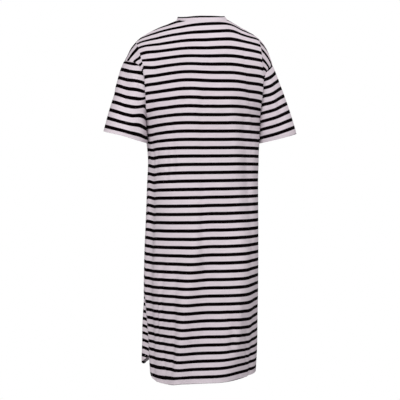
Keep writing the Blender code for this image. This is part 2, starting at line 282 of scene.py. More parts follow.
def along(points: Rows, share: Array) -> Array:
    """Points at shares of the length of a smooth curve through a table of points.

    Args:
        points: The table, in order along the curve.
        share: Shares of the curve's length.

    Returns:
        The points there.
    """
    path = np.asarray(points, dtype=float)
    length = run_length(path)
    return table_row(np.column_stack([length / length[-1], path]), share)


def bell(across: Array, up: Array) -> Array:
    """Share 1 at the middle of a place, fading out over its reach each way."""
    return np.exp(-(across**2) - up**2)


def lean(point: Array) -> Array:
    """Slight sideways lean of the whole garment."""
    return point - SIDE_LEAN * point[..., :1] * np.array((0.0, 0.0, 1.0))


def crowded(length: float, steps: Sequence[float], both: bool = True) -> Array:
    """Distances along a length of cloth, closer together by its borders.

    Args:
        length: The length to lay out.
        steps: Distances from a border that get a row of their own.
        both: Whether the far border is crowded too.

    Returns:
        Shares 0..1 of the length.
    """
    start, end = steps[-1], length - (steps[-1] if both else 0.0)
    count = max(1, round((end - start) / CLOTH_STEP))
    middle = np.linspace(start, end, count + 1)
    tail = (length - np.asarray(steps[::-1]))[1:] if both else np.zeros(0)
    return np.concatenate([np.asarray(steps)[:-1], middle, tail]) / length


# ---- folds and creases ----
@dataclass(frozen=True)
class Crease:
    """One soft trough or ridge on the cloth, in flat metres: across from the middle, and height."""

    start_x: float
    start_y: float
    end_x: float
    end_y: float
    width: float
    depth: float
    bow: float = 0.0
    profile: Profile = Profile.SOFT

    def height(self, x: Array, y: Array) -> Array:
        """How far the crease lifts the cloth.

        Args:
            x: Across, in flat metres.
            y: Up, in flat metres.

        Returns:
            The lift at each point, below zero in a trough.
        """
        run_x, run_y = self.end_x - self.start_x, self.end_y - self.start_y
        length = math.hypot(run_x, run_y)
        dx, dy = x - self.start_x, y - self.start_y
        share = (dx * run_x + dy * run_y) / length**2
        inside = np.clip(share, 0.0, 1.0)
        off = (dy * run_x - dx * run_y) / length - self.bow * 4.0 * inside * (1.0 - inside)
        fade_in = smooth(share / CREASE_FADE + CREASE_END)
        fade_out = smooth((1.0 - share) / CREASE_FADE + CREASE_END)
        reach = np.abs(off) / self.width
        shape = -(reach**2) if self.profile is Profile.SOFT else -SHARPNESS * reach
        return self.depth * fade_in * fade_out * np.exp(shape)


@dataclass(frozen=True)
class Pull:
    """A place where the cloth is drawn up or down, so its stripes bend there."""

    x: float
    y: float
    reach_x: float
    reach_y: float
    rise: float

    def shift(self, x: Array, y: Array) -> Array:
        """How far up the cloth is drawn at each flat point, in metres."""
        return self.rise * bell((x - self.x) / self.reach_x, (y - self.y) / self.reach_y)


@dataclass(frozen=True)
class Drift:
    """A place where the whole garment hangs a little off its pattern, moved sideways and up."""

    x: float
    z: float
    reach_x: float
    reach_z: float
    sideways: float
    up: float

    def carry(self, points: Array) -> Array:
        """How far each point is moved."""
        share = bell((points[..., 0] - self.x) / self.reach_x, (points[..., 2] - self.z) / self.reach_z)
        return share[..., None] * np.array([self.sideways, 0.0, self.up])


def built(kind: type, rows: Rows, **more: Any) -> tuple[Any, ...]:
    """One crease, pull or drift for each row of a table in millimetres."""
    return tuple(kind(*(value / MM_PER_M for value in row), **more) for row in rows)


# x, z, reach_x, reach_z, sideways, up
DRIFTS = built(Drift, (
    (224, -155, 36, 18, 0, 8.5),
    (200, -172, 18, 18, 0, 6.5),
    (250, -155, 60, 55, 5.8, 0),
    (300, -350, 50, 50, -1.5, -1.5),
    (265, -370, 45, 35, 0, 3.5),
    (180, -440, 40, 60, -4, 0),
    (180, -590, 40, 110, -2.8, 0),
    (175, -1120, 50, 45, -4, 0),
    (-212, -95, 50, 45, 3.5, 0),
    (85, 5, 45, 45, 0, -4.2),
    (-85, 5, 45, 45, 0, 2.8),
    (144, -1100, 22, 20, 0, -5.2),
    (112, -1105, 22, 20, 0, 2.2),
    (-175, -1020, 45, 70, -2.2, 0),
))


def settled(points: Array) -> Array:
    """Points of a piece after the whole garment has settled."""
    return points + sum(drift.carry(points) for drift in DRIFTS)


@dataclass(frozen=True)
class FoldLine:
    """A fold from the shoulder down beside an armhole: the cloth stands proud and drops away beyond it."""

    # level and share, then height, sideways, inner_width and outer_width in millimetres
    path: Rows
    # level where a stripe meets the fold, its count beyond the fold
    beyond: Rows
    # how far the stripes climb from the fold to the armhole, and the levels over which they come free
    climb: float
    free_from: float
    free_to: float

    def share(self, level: Array) -> Array:
        """Share of the panel at which the fold runs."""
        return table_row(self.path, level)[..., 0]

    def lift(self, reach: Array, level: Array) -> tuple[Array, Array]:
        """How far the fold lifts the cloth, and how far it leans out over the armhole.

        Args:
            reach: Share of the panel from its middle to this side.
            level: How far up the panel.

        Returns:
            The lift and the lean at each point.
        """
        share, *sizes = np.moveaxis(table_row(self.path, level), -1, 0)
        height, sideways, inner, outer = (size / MM_PER_M for size in sizes)
        off = (reach - share) * HALF_GIRTH
        shape = np.exp(-((off / np.where(off < 0.0, inner, outer)) ** 2))
        return height * shape, sideways * shape

    def count(self, reach: Array, level: Array, body: Array) -> Array:
        """Stripe count beyond the fold, where the cloth has slipped against the body's.

        Args:
            reach: Share of the panel from its middle to this side.
            level: How far up the panel.
            body: The count that the body's cloth would have.

        Returns:
            The count at each point.
        """
        share = self.share(level)
        over = np.clip((reach - share) / np.maximum(1.0 - share, 1e-6), 0.0, 1.0)
        rows = np.asarray(self.beyond)
        own = np.interp(self.climb * over - level, -rows[:, 0], rows[:, 1])
        free = smooth((level - self.free_from) / (self.free_to - self.free_from))
        return body + (own - body) * free


def strewn(
    seed: int, count: int, across: tuple[float, float], up: tuple[float, float], depth: float
) -> tuple[Crease, ...]:
    """Faint folds of hanging cloth, mostly upright, uneven in length, depth and spacing.

    Args:
        seed: Fixes the draw.
        count: How many there are.
        across: Flat reach of the cloth sideways.
        up: Flat reach of the cloth upwards.
        depth: The deepest of them.

    Returns:
        The creases.
    """
    draw = np.random.default_rng(seed)
    creases = []
    for _ in range(count):
        x, y = draw.uniform(*across), draw.uniform(*up)
        length, tip = draw.uniform(*STREWN_LENGTH), draw.normal(0.0, STREWN_LEAN)
        rise = depth * draw.uniform(*STREWN_DEPTH) * draw.choice((-1.0, 1.0))
        width = draw.uniform(*STREWN_WIDTH)
        bow = draw.normal(0.0, STREWN_BOW)
        creases.append(Crease(x, y, x + length * tip, y - length, width, rise, bow))
    return tuple(creases)


# ---- materials ----
RANGE = "ShaderNodeMapRange"


def linear(hex_colour: str) -> tuple[float, float, float, float]:
    """Linear colour of an sRGB hex value.

    Args:
        hex_colour: The value, as #RRGGBB.

    Returns:
        Red, green, blue and 1.
    """
    parts = [int(hex_colour[i : i + 2], 16) / 255.0 for i in (1, 3, 5)]
    red, green, blue = (c / 12.92 if c <= 0.04045 else ((c + 0.055) / 1.055) ** 2.4 for c in parts)
    return red, green, blue, 1.0


def add_node(
    tree: bpy.types.NodeTree, kind: str, inputs: dict[Any, Any] | None = None, **settings: Any
) -> bpy.types.Node:
    """Add a node with its settings, and give its sockets values or links.

    Args:
        tree: The node tree it goes in.
        kind: The node's type name.
        inputs: Socket name or number to a value, to another node's output, or to a node for its first output.
        **settings: The node's own properties.

    Returns:
        The new node.
    """
    node = tree.nodes.new(kind)
    for name, value in settings.items():
        setattr(node, name, value)
    for name, value in (inputs or {}).items():
        source = value.outputs[0] if isinstance(value, bpy.types.Node) else value
        if isinstance(source, bpy.types.NodeSocket):
            tree.links.new(source, node.inputs[name])
        else:
            node.inputs[name].default_value = source
    return node


def maths(tree: bpy.types.NodeTree, operation: str, *values: Any) -> bpy.types.Node:
    """Add a maths node for numbers and other nodes' outputs."""
    return add_node(tree, "ShaderNodeMath", dict(enumerate(values)), operation=operation)


def mixed(tree: bpy.types.NodeTree, share: Any, first: Any, second: Any) -> bpy.types.NodeSocket:
    """Add a mix of two colours, the second one where the share is 1."""
    return add_node(tree, "ShaderNodeMix", {0: share, 6: first, 7: second}, data_type="RGBA").outputs[2]


def grain(tree: bpy.types.NodeTree, place: Any, size: float, detail: float) -> bpy.types.Node:
    """Add a noise with grains of a size, in the units of its place."""
    return add_node(tree, "ShaderNodeTexNoise", {"Vector": place, "Scale": 1.0 / size, "Detail": detail})


def empty_material(name: str) -> tuple[bpy.types.Material, bpy.types.NodeTree]:
    """Start a material.

    Args:
        name: The material's name.

    Returns:
        The material and its empty node tree.
    """
    material = bpy.data.materials.new(name)
    material.use_nodes = True
    material.node_tree.nodes.clear()
    return material, material.node_tree


@dataclass(frozen=True)
class Jersey:
    """Single jersey, combed cotton, weft knitted and piece finished.

    It gives the eye fine upright wales, a dry matt face and a slightly heathered, slubby ground.
    """

    name: str
    ground: str = "#DACFD6"
    shade: str = "#C9BDC5"
    # wales and courses are really 0.7 mm and are drawn at twice that, so that they show at all
    wale: float = 0.0014
    course: float = 0.0012
    heather: float = 0.0030
    # thick and thin places in the yarn: 0.7 mm high really, drawn at three times that to show
    slub_length: float = 0.045
    slub_height: float = 0.0022
    cloud: float = 0.14
    # small hollows left by wear and washing
    cockle: float = 0.016
    cockle_depth: float = 0.35
    roughness: float = 0.88
    ior: float = 1.45
    gloss: float = 0.02
    fuzz: float = 0.004
    fuzz_roughness: float = 0.6
    relief: float = 0.00014
    relief_share: float = 0.5
    # how a loop's legs slant, and how much of the relief goes along the wales and along the courses
    leg_slant: float = 1.2
    wale_height: float = 1.1
    course_height: float = 0.7
    # what each unevenness adds to the tone, and the span of tone from the ground to the shade
    fibre_share: float = 0.40
    slub_share: float = 0.35
    cloud_share: float = 0.25
    tone_span: tuple[float, float] = (0.34, 0.66)

    def flat(self, tree: bpy.types.NodeTree) -> tuple[bpy.types.NodeSocket, bpy.types.NodeSocket]:
        """The cloth's own coordinates: metres across, and stripes up.

        Args:
            tree: The material's node tree.

        Returns:
            The two coordinates.
        """
        place = add_node(tree, "ShaderNodeUVMap", uv_map=UV_NAME)
        split = add_node(tree, "ShaderNodeSeparateXYZ", {0: place})
        return split.outputs[0], split.outputs[1]

    def knit(self, tree: bpy.types.NodeTree, across: Any, up: Any) -> bpy.types.Node:
        """Height of the loops: pairs of slanting legs in upright wales, over faint hollows.

        Args:
            tree: The material's node tree.
            across: Metres across the cloth.
            up: Metres up the cloth.

        Returns:
            The height, about 0..1.
        """
        leg = maths(tree, "PINGPONG", across, self.wale / 2.0)
        slant = maths(tree, "MULTIPLY_ADD", leg, self.leg_slant, up)
        loop = maths(tree, "PINGPONG", slant, self.course / 2.0)
        tall = maths(tree, "MULTIPLY", leg, self.wale_height / self.wale)
        low = self.course_height / self.course
        rib = maths(tree, "MULTIPLY_ADD", loop, low, tall)
        place = add_node(tree, "ShaderNodeTexCoord").outputs["Object"]
        hollow = grain(tree, place, self.cockle, 1.0)
        return maths(tree, "MULTIPLY_ADD", hollow, self.cockle_depth, rib)

    def ground_colour(self, tree: bpy.types.NodeTree, across: Any, up: Any) -> bpy.types.NodeSocket:
        """Ground of two tones: fine fibres, thick and thin yarn along the courses, and a slow change of tone.

        Args:
            tree: The material's node tree.
            across: Metres across the cloth.
            up: Metres up the cloth.

        Returns:
            The colour.
        """
        place = add_node(tree, "ShaderNodeTexCoord").outputs["Object"]
        fibre = grain(tree, place, self.heather, 3.0)
        cloud = grain(tree, place, self.cloud, 2.0)
        yarn_x = maths(tree, "DIVIDE", across, self.slub_length)
        yarn_y = maths(tree, "DIVIDE", up, self.slub_height)
        yarn = add_node(tree, "ShaderNodeCombineXYZ", {0: yarn_x, 1: yarn_y})
        slub = grain(tree, yarn, 1.0, 2.0)
        fine = maths(tree, "MULTIPLY", fibre, self.fibre_share)
        both = maths(tree, "MULTIPLY_ADD", slub, self.slub_share, fine)
        tone = maths(tree, "MULTIPLY_ADD", cloud, self.cloud_share, both)
        ground_at, shade_at = self.tone_span
        spread = add_node(tree, RANGE, {0: tone, 1: ground_at, 2: shade_at, 3: 0.0, 4: 1.0})
        return mixed(tree, spread, linear(self.ground), linear(self.shade))

    def finish(self, tree: bpy.types.NodeTree, mask: Any, dyed: str, ground: Any, height: Any) -> None:
        """Close the tree: dyed yarn where the mask is 1, and the cloth's shader.

        Args:
            tree: The material's node tree.
            mask: Where the dyed yarn lies.
            dyed: The dyed yarn's colour.
            ground: The ground's colour.
            height: The relief, 0..1.
        """
        depth = {"Height": height, "Strength": self.relief_share, "Distance": self.relief}
        look = {
            "Base Color": mixed(tree, mask, ground, linear(dyed)),
            "Roughness": self.roughness,
            "IOR": self.ior,
            "Specular IOR Level": self.gloss,
            "Sheen Weight": self.fuzz,
            "Sheen Roughness": self.fuzz_roughness,
            "Normal": add_node(tree, "ShaderNodeBump", depth),
        }
        shader = add_node(tree, "ShaderNodeBsdfPrincipled", look)
        add_node(tree, "ShaderNodeOutputMaterial", {"Surface": shader})


@dataclass(frozen=True)
class StripedJersey(Jersey):
    """Jersey with yarn-dyed black stripes knitted in, so each stripe has the soft edge of a course."""

    stripe: str = "#040102"
    stripe_width: float = 0.0106
    repeat: float = STRIPE_REPEAT
    edge: float = 0.0006
    # how far the loops make a stripe's edge ragged, in widths of its soft edge
    ragged: float = 0.35
    # stripes added to the count, which keep it above zero all over the garment
    spare: float = 100.0

    @cache
    def material(self) -> bpy.types.Material:
        """Build the striped cloth's material, once for all its pieces.

        Returns:
            The material.
        """
        material, tree = empty_material(self.name)
        across, count = self.flat(tree)
        up = maths(tree, "MULTIPLY", count, self.repeat)
        height = self.knit(tree, across, up)
        whole = maths(tree, "ADD", count, self.spare)
        off = maths(tree, "PINGPONG", whole, 0.5)
        half = self.stripe_width / 2.0 / self.repeat
        soft = self.edge / self.repeat
        uneven = maths(tree, "MULTIPLY_ADD", height, self.ragged * soft, off)
        border = {0: uneven, 1: half - soft, 2: half + soft, 3: 1.0, 4: 0.0}
        mask = add_node(tree, RANGE, border, interpolation_type="SMOOTHSTEP")
        self.finish(tree, mask, self.stripe, self.ground_colour(tree, across, up), height)
        return material


@dataclass(frozen=True)
class BandJersey(Jersey):
    """Plain jersey cut between two stripes and folded, so that a black course just shows at its fold."""

    fold: str = "#1A1417"
    height: float = BAND_HEIGHT
    fold_from: float = 0.73
    fold_to: float = 0.76

    @cache
    def material(self) -> bpy.types.Material:
        """Build the band's material; its second coordinate runs 0 at the seam to 1 at the fold.

        Returns:
            The material.
        """
        material, tree = empty_material(self.name)
        across, rise = self.flat(tree)
        up = maths(tree, "MULTIPLY", rise, self.height)
        height = self.knit(tree, across, up)
        mask = add_node(tree, RANGE, {0: rise, 1: self.fold_from, 2: self.fold_to, 3: 0.0, 4: 1.0})
        self.finish(tree, mask, self.fold, self.ground_colour(tree, across, up), height)
        return material


@dataclass(frozen=True)
class SewingThread:
    """Spun polyester thread, twisted two-ply, a little smoother than the cloth it sits in."""

    name: str = "sewing_thread_spun_polyester"
    colour: str = "#D3C8CF"
    dark: str = "#B9ADB5"
    # the twist is really 0.3 mm and is drawn at twice that, so that it shows
    twist: float = 0.0006
    roughness: float = 0.6
    ior: float = 1.5

    @cache
    def material(self) -> bpy.types.Material:
        """Build the thread's material.

        Returns:
            The material.
        """
        material, tree = empty_material(self.name)
        place = add_node(tree, "ShaderNodeTexCoord").outputs["Object"]
        colour = mixed(tree, grain(tree, place, self.twist, 1.0), linear(self.colour), linear(self.dark))
        look = {"Base Color": colour, "Roughness": self.roughness, "IOR": self.ior}
        shader = add_node(tree, "ShaderNodeBsdfPrincipled", look)
        add_node(tree, "ShaderNodeOutputMaterial", {"Surface": shader})
        return material


# ---- surfaces ----
def linked(name: str, data: bpy.types.ID) -> bpy.types.Object:
    """Put an object in the scene.

    Args:
        name: The object's name.
        data: Its mesh, light or camera.

    Returns:
        The new object.
    """
    made = bpy.data.objects.new(name, data)
    bpy.context.scene.collection.objects.link(made)
    return made


def finished(mesh: bmesh.types.BMesh, name: str) -> bpy.types.Object:
    """Close a mesh under construction and make it an object of the scene.

    Args:
        mesh: The mesh, which is freed.
        name: Name of the object and of its data.

    Returns:
        The new object.
    """
    data = bpy.data.meshes.new(name)
    mesh.to_mesh(data)
    mesh.free()
    return linked(name, data)


@dataclass
class Sheet:
    """A grid of cloth points, with what the shell needs at each of them."""

    points: Array
    across: Array
    up: Array
    # flat metres up the piece
    height: Array
    offset: Array
    thick: Array
    closed: bool = False
    # fractional columns and rows of the lines of stitching
    sewn: list[tuple[Array, Array]] = field(default_factory=list)
    # count to use on the faces outside these columns, where a fold has let the stripes slip
    slipped: Array | None = None
    folds_at: tuple[int, int] = (0, 0)

    def normals(self) -> Array:
        """Unit normals of the grid, pointing out of the garment.

        Returns:
            The normals, one for each point.
        """
        if self.closed:
            ring = np.concatenate([self.points[-2:-1], self.points, self.points[1:2]])
            along_columns = (ring[2:] - ring[:-2]) / 2.0
        else:
            along_columns = np.gradient(self.points, axis=0)
        along_rows = np.gradient(self.points, axis=1)
        normal = np.cross(along_columns, along_rows)
        length = np.linalg.norm(normal, axis=-1)[..., None]
        return normal / np.maximum(length, 1e-12)

    def outer(self) -> Array:
        """The outer face of the cloth."""
        return self.points + self.normals() * self.offset[..., None]


def places_at(distance: Array, value: float) -> Array:
    """Find where a distance has a value.

    Args:
        distance: A grid that rises or falls along each column.
        value: The value looked for.

    Returns:
        The fractional row in each column.
    """
    rows = np.arange(distance.shape[1])
    sign = np.sign(distance[:, -1] - distance[:, 0])
    return np.array([np.interp(value * s, column * s, rows) for s, column in zip(sign, distance)])


def between(grid: Array, columns: Array, rows: Array) -> Array:
    """Read a grid between its points.

    Args:
        grid: The grid, with any number of values at each point.
        columns, rows: The places.

    Returns:
        The values there.
    """
    column = np.clip(columns.astype(int), 0, grid.shape[0] - 2)
    row = np.clip(rows.astype(int), 0, grid.shape[1] - 2)
    right, up = (columns - column)[:, None], (rows - row)[:, None]
    low = grid[column, row] * (1.0 - right) + grid[column + 1, row] * right
    high = grid[column, row + 1] * (1.0 - right) + grid[column + 1, row + 1] * right
    return low * (1.0 - up) + high * up


@dataclass(frozen=True)
class Stitching:
    """Rows of stitches: short humps of thread, half sunk in the cloth."""

    finish: SewingThread = SewingThread()
    pitch: float = 0.0032
    # the thread is really 0.3 mm thick and is made twice that, so that it shows
    half_length: float = 0.00125
    half_width: float = 0.00032
    half_height: float = 0.00028

    def sew(self, mesh: bmesh.types.BMesh, points: Array, normals: Array) -> None:
        """Lay stitches along a line on the cloth.

        Args:
            mesh: Takes the stitches.
            points: The line.
            normals: The cloth's outward direction along it.
        """
        length = run_length(points)
        path = np.column_stack([points, normals])
        middles = np.arange(self.pitch / 2.0, length[-1] - self.pitch / 2.0, self.pitch)
        for middle in middles:
            span = (middle - self.half_length, middle, middle + self.half_length)
            back, here, ahead = np.column_stack([np.interp(span, length, path[:, i]) for i in range(6)])
            run = Vector(ahead[:3] - back[:3]).normalized()
            side = Vector(here[3:]).cross(run).normalized()
            out = run.cross(side)
            frame_columns = (run * self.half_length, side * self.half_width, out * self.half_height)
            turn = Matrix(frame_columns).transposed().to_4x4()
            place = Matrix.Translation(here[:3]) @ turn
            bmesh.ops.create_icosphere(mesh, subdivisions=1, radius=1.0, matrix=place)

    def build(self, name: str, sheet: Sheet, slot: str) -> bpy.types.Object:
        """Sew all the lines of a piece.

        Args:
            name: Name of the stitches' object.
            sheet: The laid-out piece.
            slot: The piece's material slot; not used.

        Returns:
            The stitches as one object, riding on the garment.
        """
        outer, normals = sheet.outer(), sheet.normals()
        mesh = bmesh.new()
        for columns, rows in sheet.sewn:
            self.sew(mesh, between(outer, columns, rows), between(normals, columns, rows))
        for face in mesh.faces:
            face.smooth = True
        stitches = finished(mesh, name)
        stitches.data.materials.append(self.finish.material())
        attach(stitches, "root")
        return stitches


@dataclass
class ClothPiece:
    """A cut piece of cloth, dressed over its solid."""

    name: str
    finish: Any
    slot: str
    # width and length of the cut, and its flat area
    cut: tuple[float, float]
    cut_area: float
    rests_on: tuple[str, ...] = ()

    def sheet(self) -> Sheet:
        """Lay out the piece."""
        raise NotImplementedError

    def shell(self, sheet: Sheet) -> bpy.types.Object:
        """Make the piece's thin shell.

        Args:
            sheet: The laid-out piece.

        Returns:
            The finished object, riding on the garment.
        """
        outer = sheet.outer()
        columns, rows = outer.shape[0] - 1, outer.shape[1] - 1
        mesh = bmesh.new()
        layer = mesh.loops.layers.uv.new(UV_NAME)
        group = mesh.verts.layers.deform.verify()
        bmesh.ops.create_grid(mesh, x_segments=columns, y_segments=rows, size=1.0)
        most = float(sheet.thick.max())
        cell = {}
        for vert in mesh.verts:
            # the grid spans -1..1 both ways
            column = round((vert.co.x + 1.0) / 2.0 * columns)
            row = round((vert.co.y + 1.0) / 2.0 * rows)
            cell[vert] = (column, row)
            vert.co = Vector(outer[column, row])
            vert[group][0] = float(sheet.thick[column, row]) / most
        for face in mesh.faces:
            face.smooth = True
            first = min(cell[vert][0] for vert in face.verts)
            beyond = sheet.slipped is not None and not sheet.folds_at[0] <= first < sheet.folds_at[1]
            up = sheet.slipped if beyond else sheet.up
            for loop in face.loops:
                column, row = cell[loop.vert]
                loop[layer].uv = (sheet.across[column, row], up[column, row])
        bmesh.ops.remove_doubles(mesh, verts=mesh.verts, dist=MERGE)
        piece = finished(mesh, f"{self.name}_cloth")
        piece.vertex_groups.new(name="thickness")
        wall = piece.modifiers.new("wall", "SOLIDIFY")
        wall.thickness = most
        wall.offset = -1.0
        wall.vertex_group = "thickness"
        wall.use_even_offset = False
        wall.use_quality_normals = True
        piece.data.materials.append(self.finish.material())
        return piece

    def build(self) -> bpy.types.Object:
        """Build the piece and its stitches, and dress them over the solid.

        Returns:
            The cloth, without its stitches.
        """
        sheet = self.sheet()
        piece = self.shell(sheet)
        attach(piece, "root")
        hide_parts(self.name)
        sewn = [Stitching().build(f"{self.name}_stitches", sheet, self.slot)] if sheet.sewn else []
        return piece


def edge_offset(distance: Array) -> Array:
    """Outward offset of the cloth beside a folded free edge, rounded over.

    Args:
        distance: Distance from the edge.

    Returns:
        The offset.
    """
    share = np.clip(distance / EDGE_RADIUS, 0.0, 1.0)
    rounded = np.sqrt(np.clip(1.0 - (1.0 - share) ** 2, 0.0, 1.0))
    return HALF_WALL * (EDGE_TUCK + (1.0 - EDGE_TUCK) * rounded)


def seam_offset(distance: Array) -> Array:
    """Outward offset of the cloth beside a seam: it dips into the stitches and rises over its allowance."""
    dip = HALF_WALL * (1.0 - np.exp(-((distance / GROOVE_WIDTH) ** 2)))
    return dip + SEAM_RIDGE * np.exp(-(((distance - SEAM_RIDGE_AT) / SEAM_RIDGE_WIDTH) ** 2))


def edge_thickness(distance: Array, depth: float) -> Array:
    """Thickness of the cloth by a turned hem: double as far as the hem goes.

    Args:
        distance: Distance from the hem's edge.
        depth: How deep the hem is turned.

    Returns:
        The thickness.
    """
    doubled = 1.0 - smooth((distance - depth) / HEM_EASE)
    rounded = EDGE_THIN + (1.0 - EDGE_THIN) * np.sqrt(np.clip(distance / EDGE_RADIUS, 0.0, 1.0))
    return (CLOTH_THICK + (HEM_THICK - CLOTH_THICK) * doubled) * rounded


@dataclass
class BodyPanel(ClothPiece):
    """A front or back panel, from the neck and shoulders to the hem, slit at both sides."""

    face: Face = Face.BACK
    hem_z: float = -1.1067
    corner_height: float = 0.026
    corner_width: float = CORNER_WIDTH
    neck_rise: float = 0.765
    neck_round: float = 2.2
    slit_tuck: float = 0.018
    armhole: Rows = ()
    hanger_slope: Rows = ()
    underarm_rise: tuple[float, float] = (0.002, 0.33)
    folds: Rows = ()
    creases: Sequence[Crease] = ()
    pulls: Sequence[Pull] = ()
    left_fold: FoldLine | None = None
    right_fold: FoldLine | None = None

    # -- the solid's own form --
    def quarter_section(self, share: Array, power: float) -> tuple[Array, Array]:
        """Rounded quarter of a body section.

        Args:
            share: Shares of the section's length, from the middle to the side.
            power: How square it is.

        Returns:
            Across and outward factors, each 0..1.
        """
        angle = np.linspace(0.0, math.pi / 2.0, SECTION_SAMPLES)
        reach = (np.sin(angle) ** power + np.cos(angle) ** power) ** (-1.0 / power)
        across, outward = reach * np.sin(angle), reach * np.cos(angle)
        steps = np.hypot(np.diff(across) * TYPICAL_HALF_WIDTH, np.diff(outward) * TYPICAL_DEPTH)
        length = np.concatenate([[0.0], np.cumsum(steps)])
        length = length / length[-1]
        return np.interp(share, length, across), np.interp(share, length, outward)

    def fold_height(self, share: Array, height: Array) -> Array:
        """How far the large folds stand out from the section.

        Args:
            share: -1 at the wearer's right seam, 1 at the left.
            height: Height before the garment leans.

        Returns:
            The distance outwards.
        """
        total = np.zeros_like(share)
        travel = np.clip((UNDERARM_Z - height) / FOLD_TRAVEL, 0.0, 1.0)
        for share_top, share_hem, half_width, rise, start_z in self.folds:
            centre = share_top + (share_hem - share_top) * travel
            growth = smooth((start_z - height) / FOLD_GROWTH)
            total = total + rise * growth * np.exp(-2.0 * ((share - centre) / half_width) ** 2)
        return total * smooth((1.0 - np.abs(share)) / SEAM_FADE)

    def low_point(self, share: Array, height: Array) -> Array:
        """Middle surface below the underarm.

        Args:
            share: -1 at the wearer's right seam, 1 at the left.
            height: Height of the cloth before it leans.

        Returns:
            The points.
        """
        half, back_depth, front_depth, shift = np.moveaxis(table_row(SECTIONS, height), -1, 0)
        left = share > 0.0
        reach = np.abs(share)
        across_left, out_left = self.quarter_section(reach, SECTION_POWER["left"])
        across_right, out_right = self.quarter_section(reach, SECTION_POWER["right"])
        across = np.where(left, across_left, across_right)
        outward = np.where(left, out_left, out_right)
        opening = np.clip((SLIT_TOP_Z - height) / (SLIT_TOP_Z - LOWEST_HEM_Z), 0.0, 1.0)
        side = np.where(left, SLIT_SIDE["left"], SLIT_SIDE["right"])
        edge_y = SLIT_SWING * side * opening**SLIT_GROWTH
        if self.face is Face.BACK:
            x = (half - self.slit_tuck * side * opening**SLIT_GROWTH) * across
            y = edge_y + (back_depth - edge_y) * outward
            facing = 1.0
        else:
            edge_y = edge_y + SLIT_LAP * side * opening**2
            curl = smooth((reach - SLIT_CURL_FROM) / (1.0 - SLIT_CURL_FROM))
            flare = SLIT_FLARE * side**2 * smooth(opening * 2.0)
            x = (half + flare) * across - self.slit_tuck * smooth(opening * SLIT_TUCK_RATE) * curl
            y = edge_y - (front_depth + edge_y) * outward
            facing = -1.0
        fold = self.fold_height(share, height)
        x = np.sign(share) * (x + fold * across)
        y = y + facing * fold * outward
        x = x + shift * smooth((UNDERARM_Z - height) / SHIFT_FADE)
        return np.stack([x, y, height], axis=-1)

    def hem_height(self, share: Array) -> Array:
        """Height of the hem, rising round the corner at each slit."""
        into_corner = np.clip(1.0 - (1.0 - np.abs(share)) * HALF_GIRTH / self.corner_width, 0.0, 1.0)
        return self.hem_z - HEM_TILT * share + self.corner_height * (1.0 - np.sqrt(1.0 - into_corner**2))

    def over_point(self, reach: Array, rise: Array) -> Array:
        """Smooth surface over the upper body, reaching under the arm to the side line.

        Args:
            reach: Share from the middle to the side.
            rise: 0 at the underarm, 1 at the hanger line.

        Returns:
            The points, all on the wearer's left.
        """
        start = self.low_point(reach, np.full_like(reach, UNDERARM_Z))
        start_slope = np.array([0.0, *self.underarm_rise])
        end = table_row(HANGER, reach)
        slope_yz = table_row(self.hanger_slope, reach)
        end_slope = np.concatenate([np.zeros_like(slope_yz[..., :1]), slope_yz], axis=-1)
        return hermite(start, start_slope, end, end_slope, rise)

    def yoke_point(self, share: Array, rise: Array) -> Array:
        """Middle surface above the underarm, drawn in to the armhole.

        Args:
            share: -1 at the wearer's right armhole, 1 at the left.
            rise: 0 at the underarm, 1 at the hanger line.

        Returns:
            The points.
        """
        reach = np.abs(share)
        to_armhole = table_row(ARMHOLE_REACH, rise)[..., 0]
        edge_rise = rise**ARMHOLE_LAG
        column_rise = rise + (edge_rise - rise) * reach**LAG_REACH
        edge = self.over_point(to_armhole, edge_rise)
        pull = along(self.armhole, rise) - edge
        pulled = pull * (reach**PULL_REACH)[..., None]
        point = self.over_point(reach * to_armhole, column_rise) + pulled
        point[..., 0] *= np.where(share < 0.0, -1.0, 1.0)
        return point

    def top_rise(self, share: Array) -> Array:
        """Rise at which each column ends: round the neck opening, then along the shoulder."""
        off_centre = np.clip(np.abs(share) / NECK_SHARE, 0.0, 1.0)
        return 1.0 - (1.0 - self.neck_rise) * np.sqrt(1.0 - off_centre**self.neck_round)

    def hang_height(self, share: Array, level: Array) -> Array:
        """Height before the garment leans, from the hem up to the underarm and no further.

        Args:
            share: -1 at the wearer's right edge, 1 at the left.
            level: -2 hem, -1 top of slit, 0 underarm.

        Returns:
            The height.
        """
        above_slit = UNDERARM_Z + (UNDERARM_Z - SLIT_TOP_Z) * np.clip(level, -1.0, 0.0)
        below_slit = (SLIT_TOP_Z - self.hem_height(share)) * np.minimum(level + 1.0, 0.0)
        return above_slit + below_slit

    def point(self, share: Array, level: Array) -> Array:
        """Middle surface of the panel.

        Args:
            share: -1 at the wearer's right edge, 1 at the left.
            level: -2 hem, -1 top of slit, 0 underarm, 1 top edge.

        Returns:
            The points.
        """
        low = self.low_point(share, self.hang_height(share, level))
        high = self.yoke_point(share, np.maximum(level, 0.0) * self.top_rise(share))
        return lean(np.where((level > 0.0)[..., None], high, low))

    # -- the cloth's own coordinates --
    def column_length(self, share: Array, level: Array) -> Array:
        """Length of cloth from the underarm up each column, for levels above 0.

        Args:
            share: The column.
            level: How far up it, 0..1.

        Returns:
            The length in metres.
        """
        total = np.zeros_like(share)
        before = self.point(share, np.full_like(level, 1e-6))
        for step in range(1, LENGTH_STEPS + 1):
            here = self.point(share, np.maximum(level, 1e-6) * step / LENGTH_STEPS)
            total = total + np.linalg.norm(here - before, axis=-1)
            before = here
        return total

    def flat_place(self, share: Array, level: Array) -> tuple[Array, Array]:
        """Lay the panel out flat.

        Args:
            share: The grid's shares across.
            level: Its levels, the same in every column.

        Returns:
            Metres across from the middle, and metres up.
        """
        height = self.hang_height(share, level)
        upper = level[0] > 0.0
        height[:, upper] += self.column_length(share[:, upper], level[:, upper])
        return share * HALF_GIRTH, height

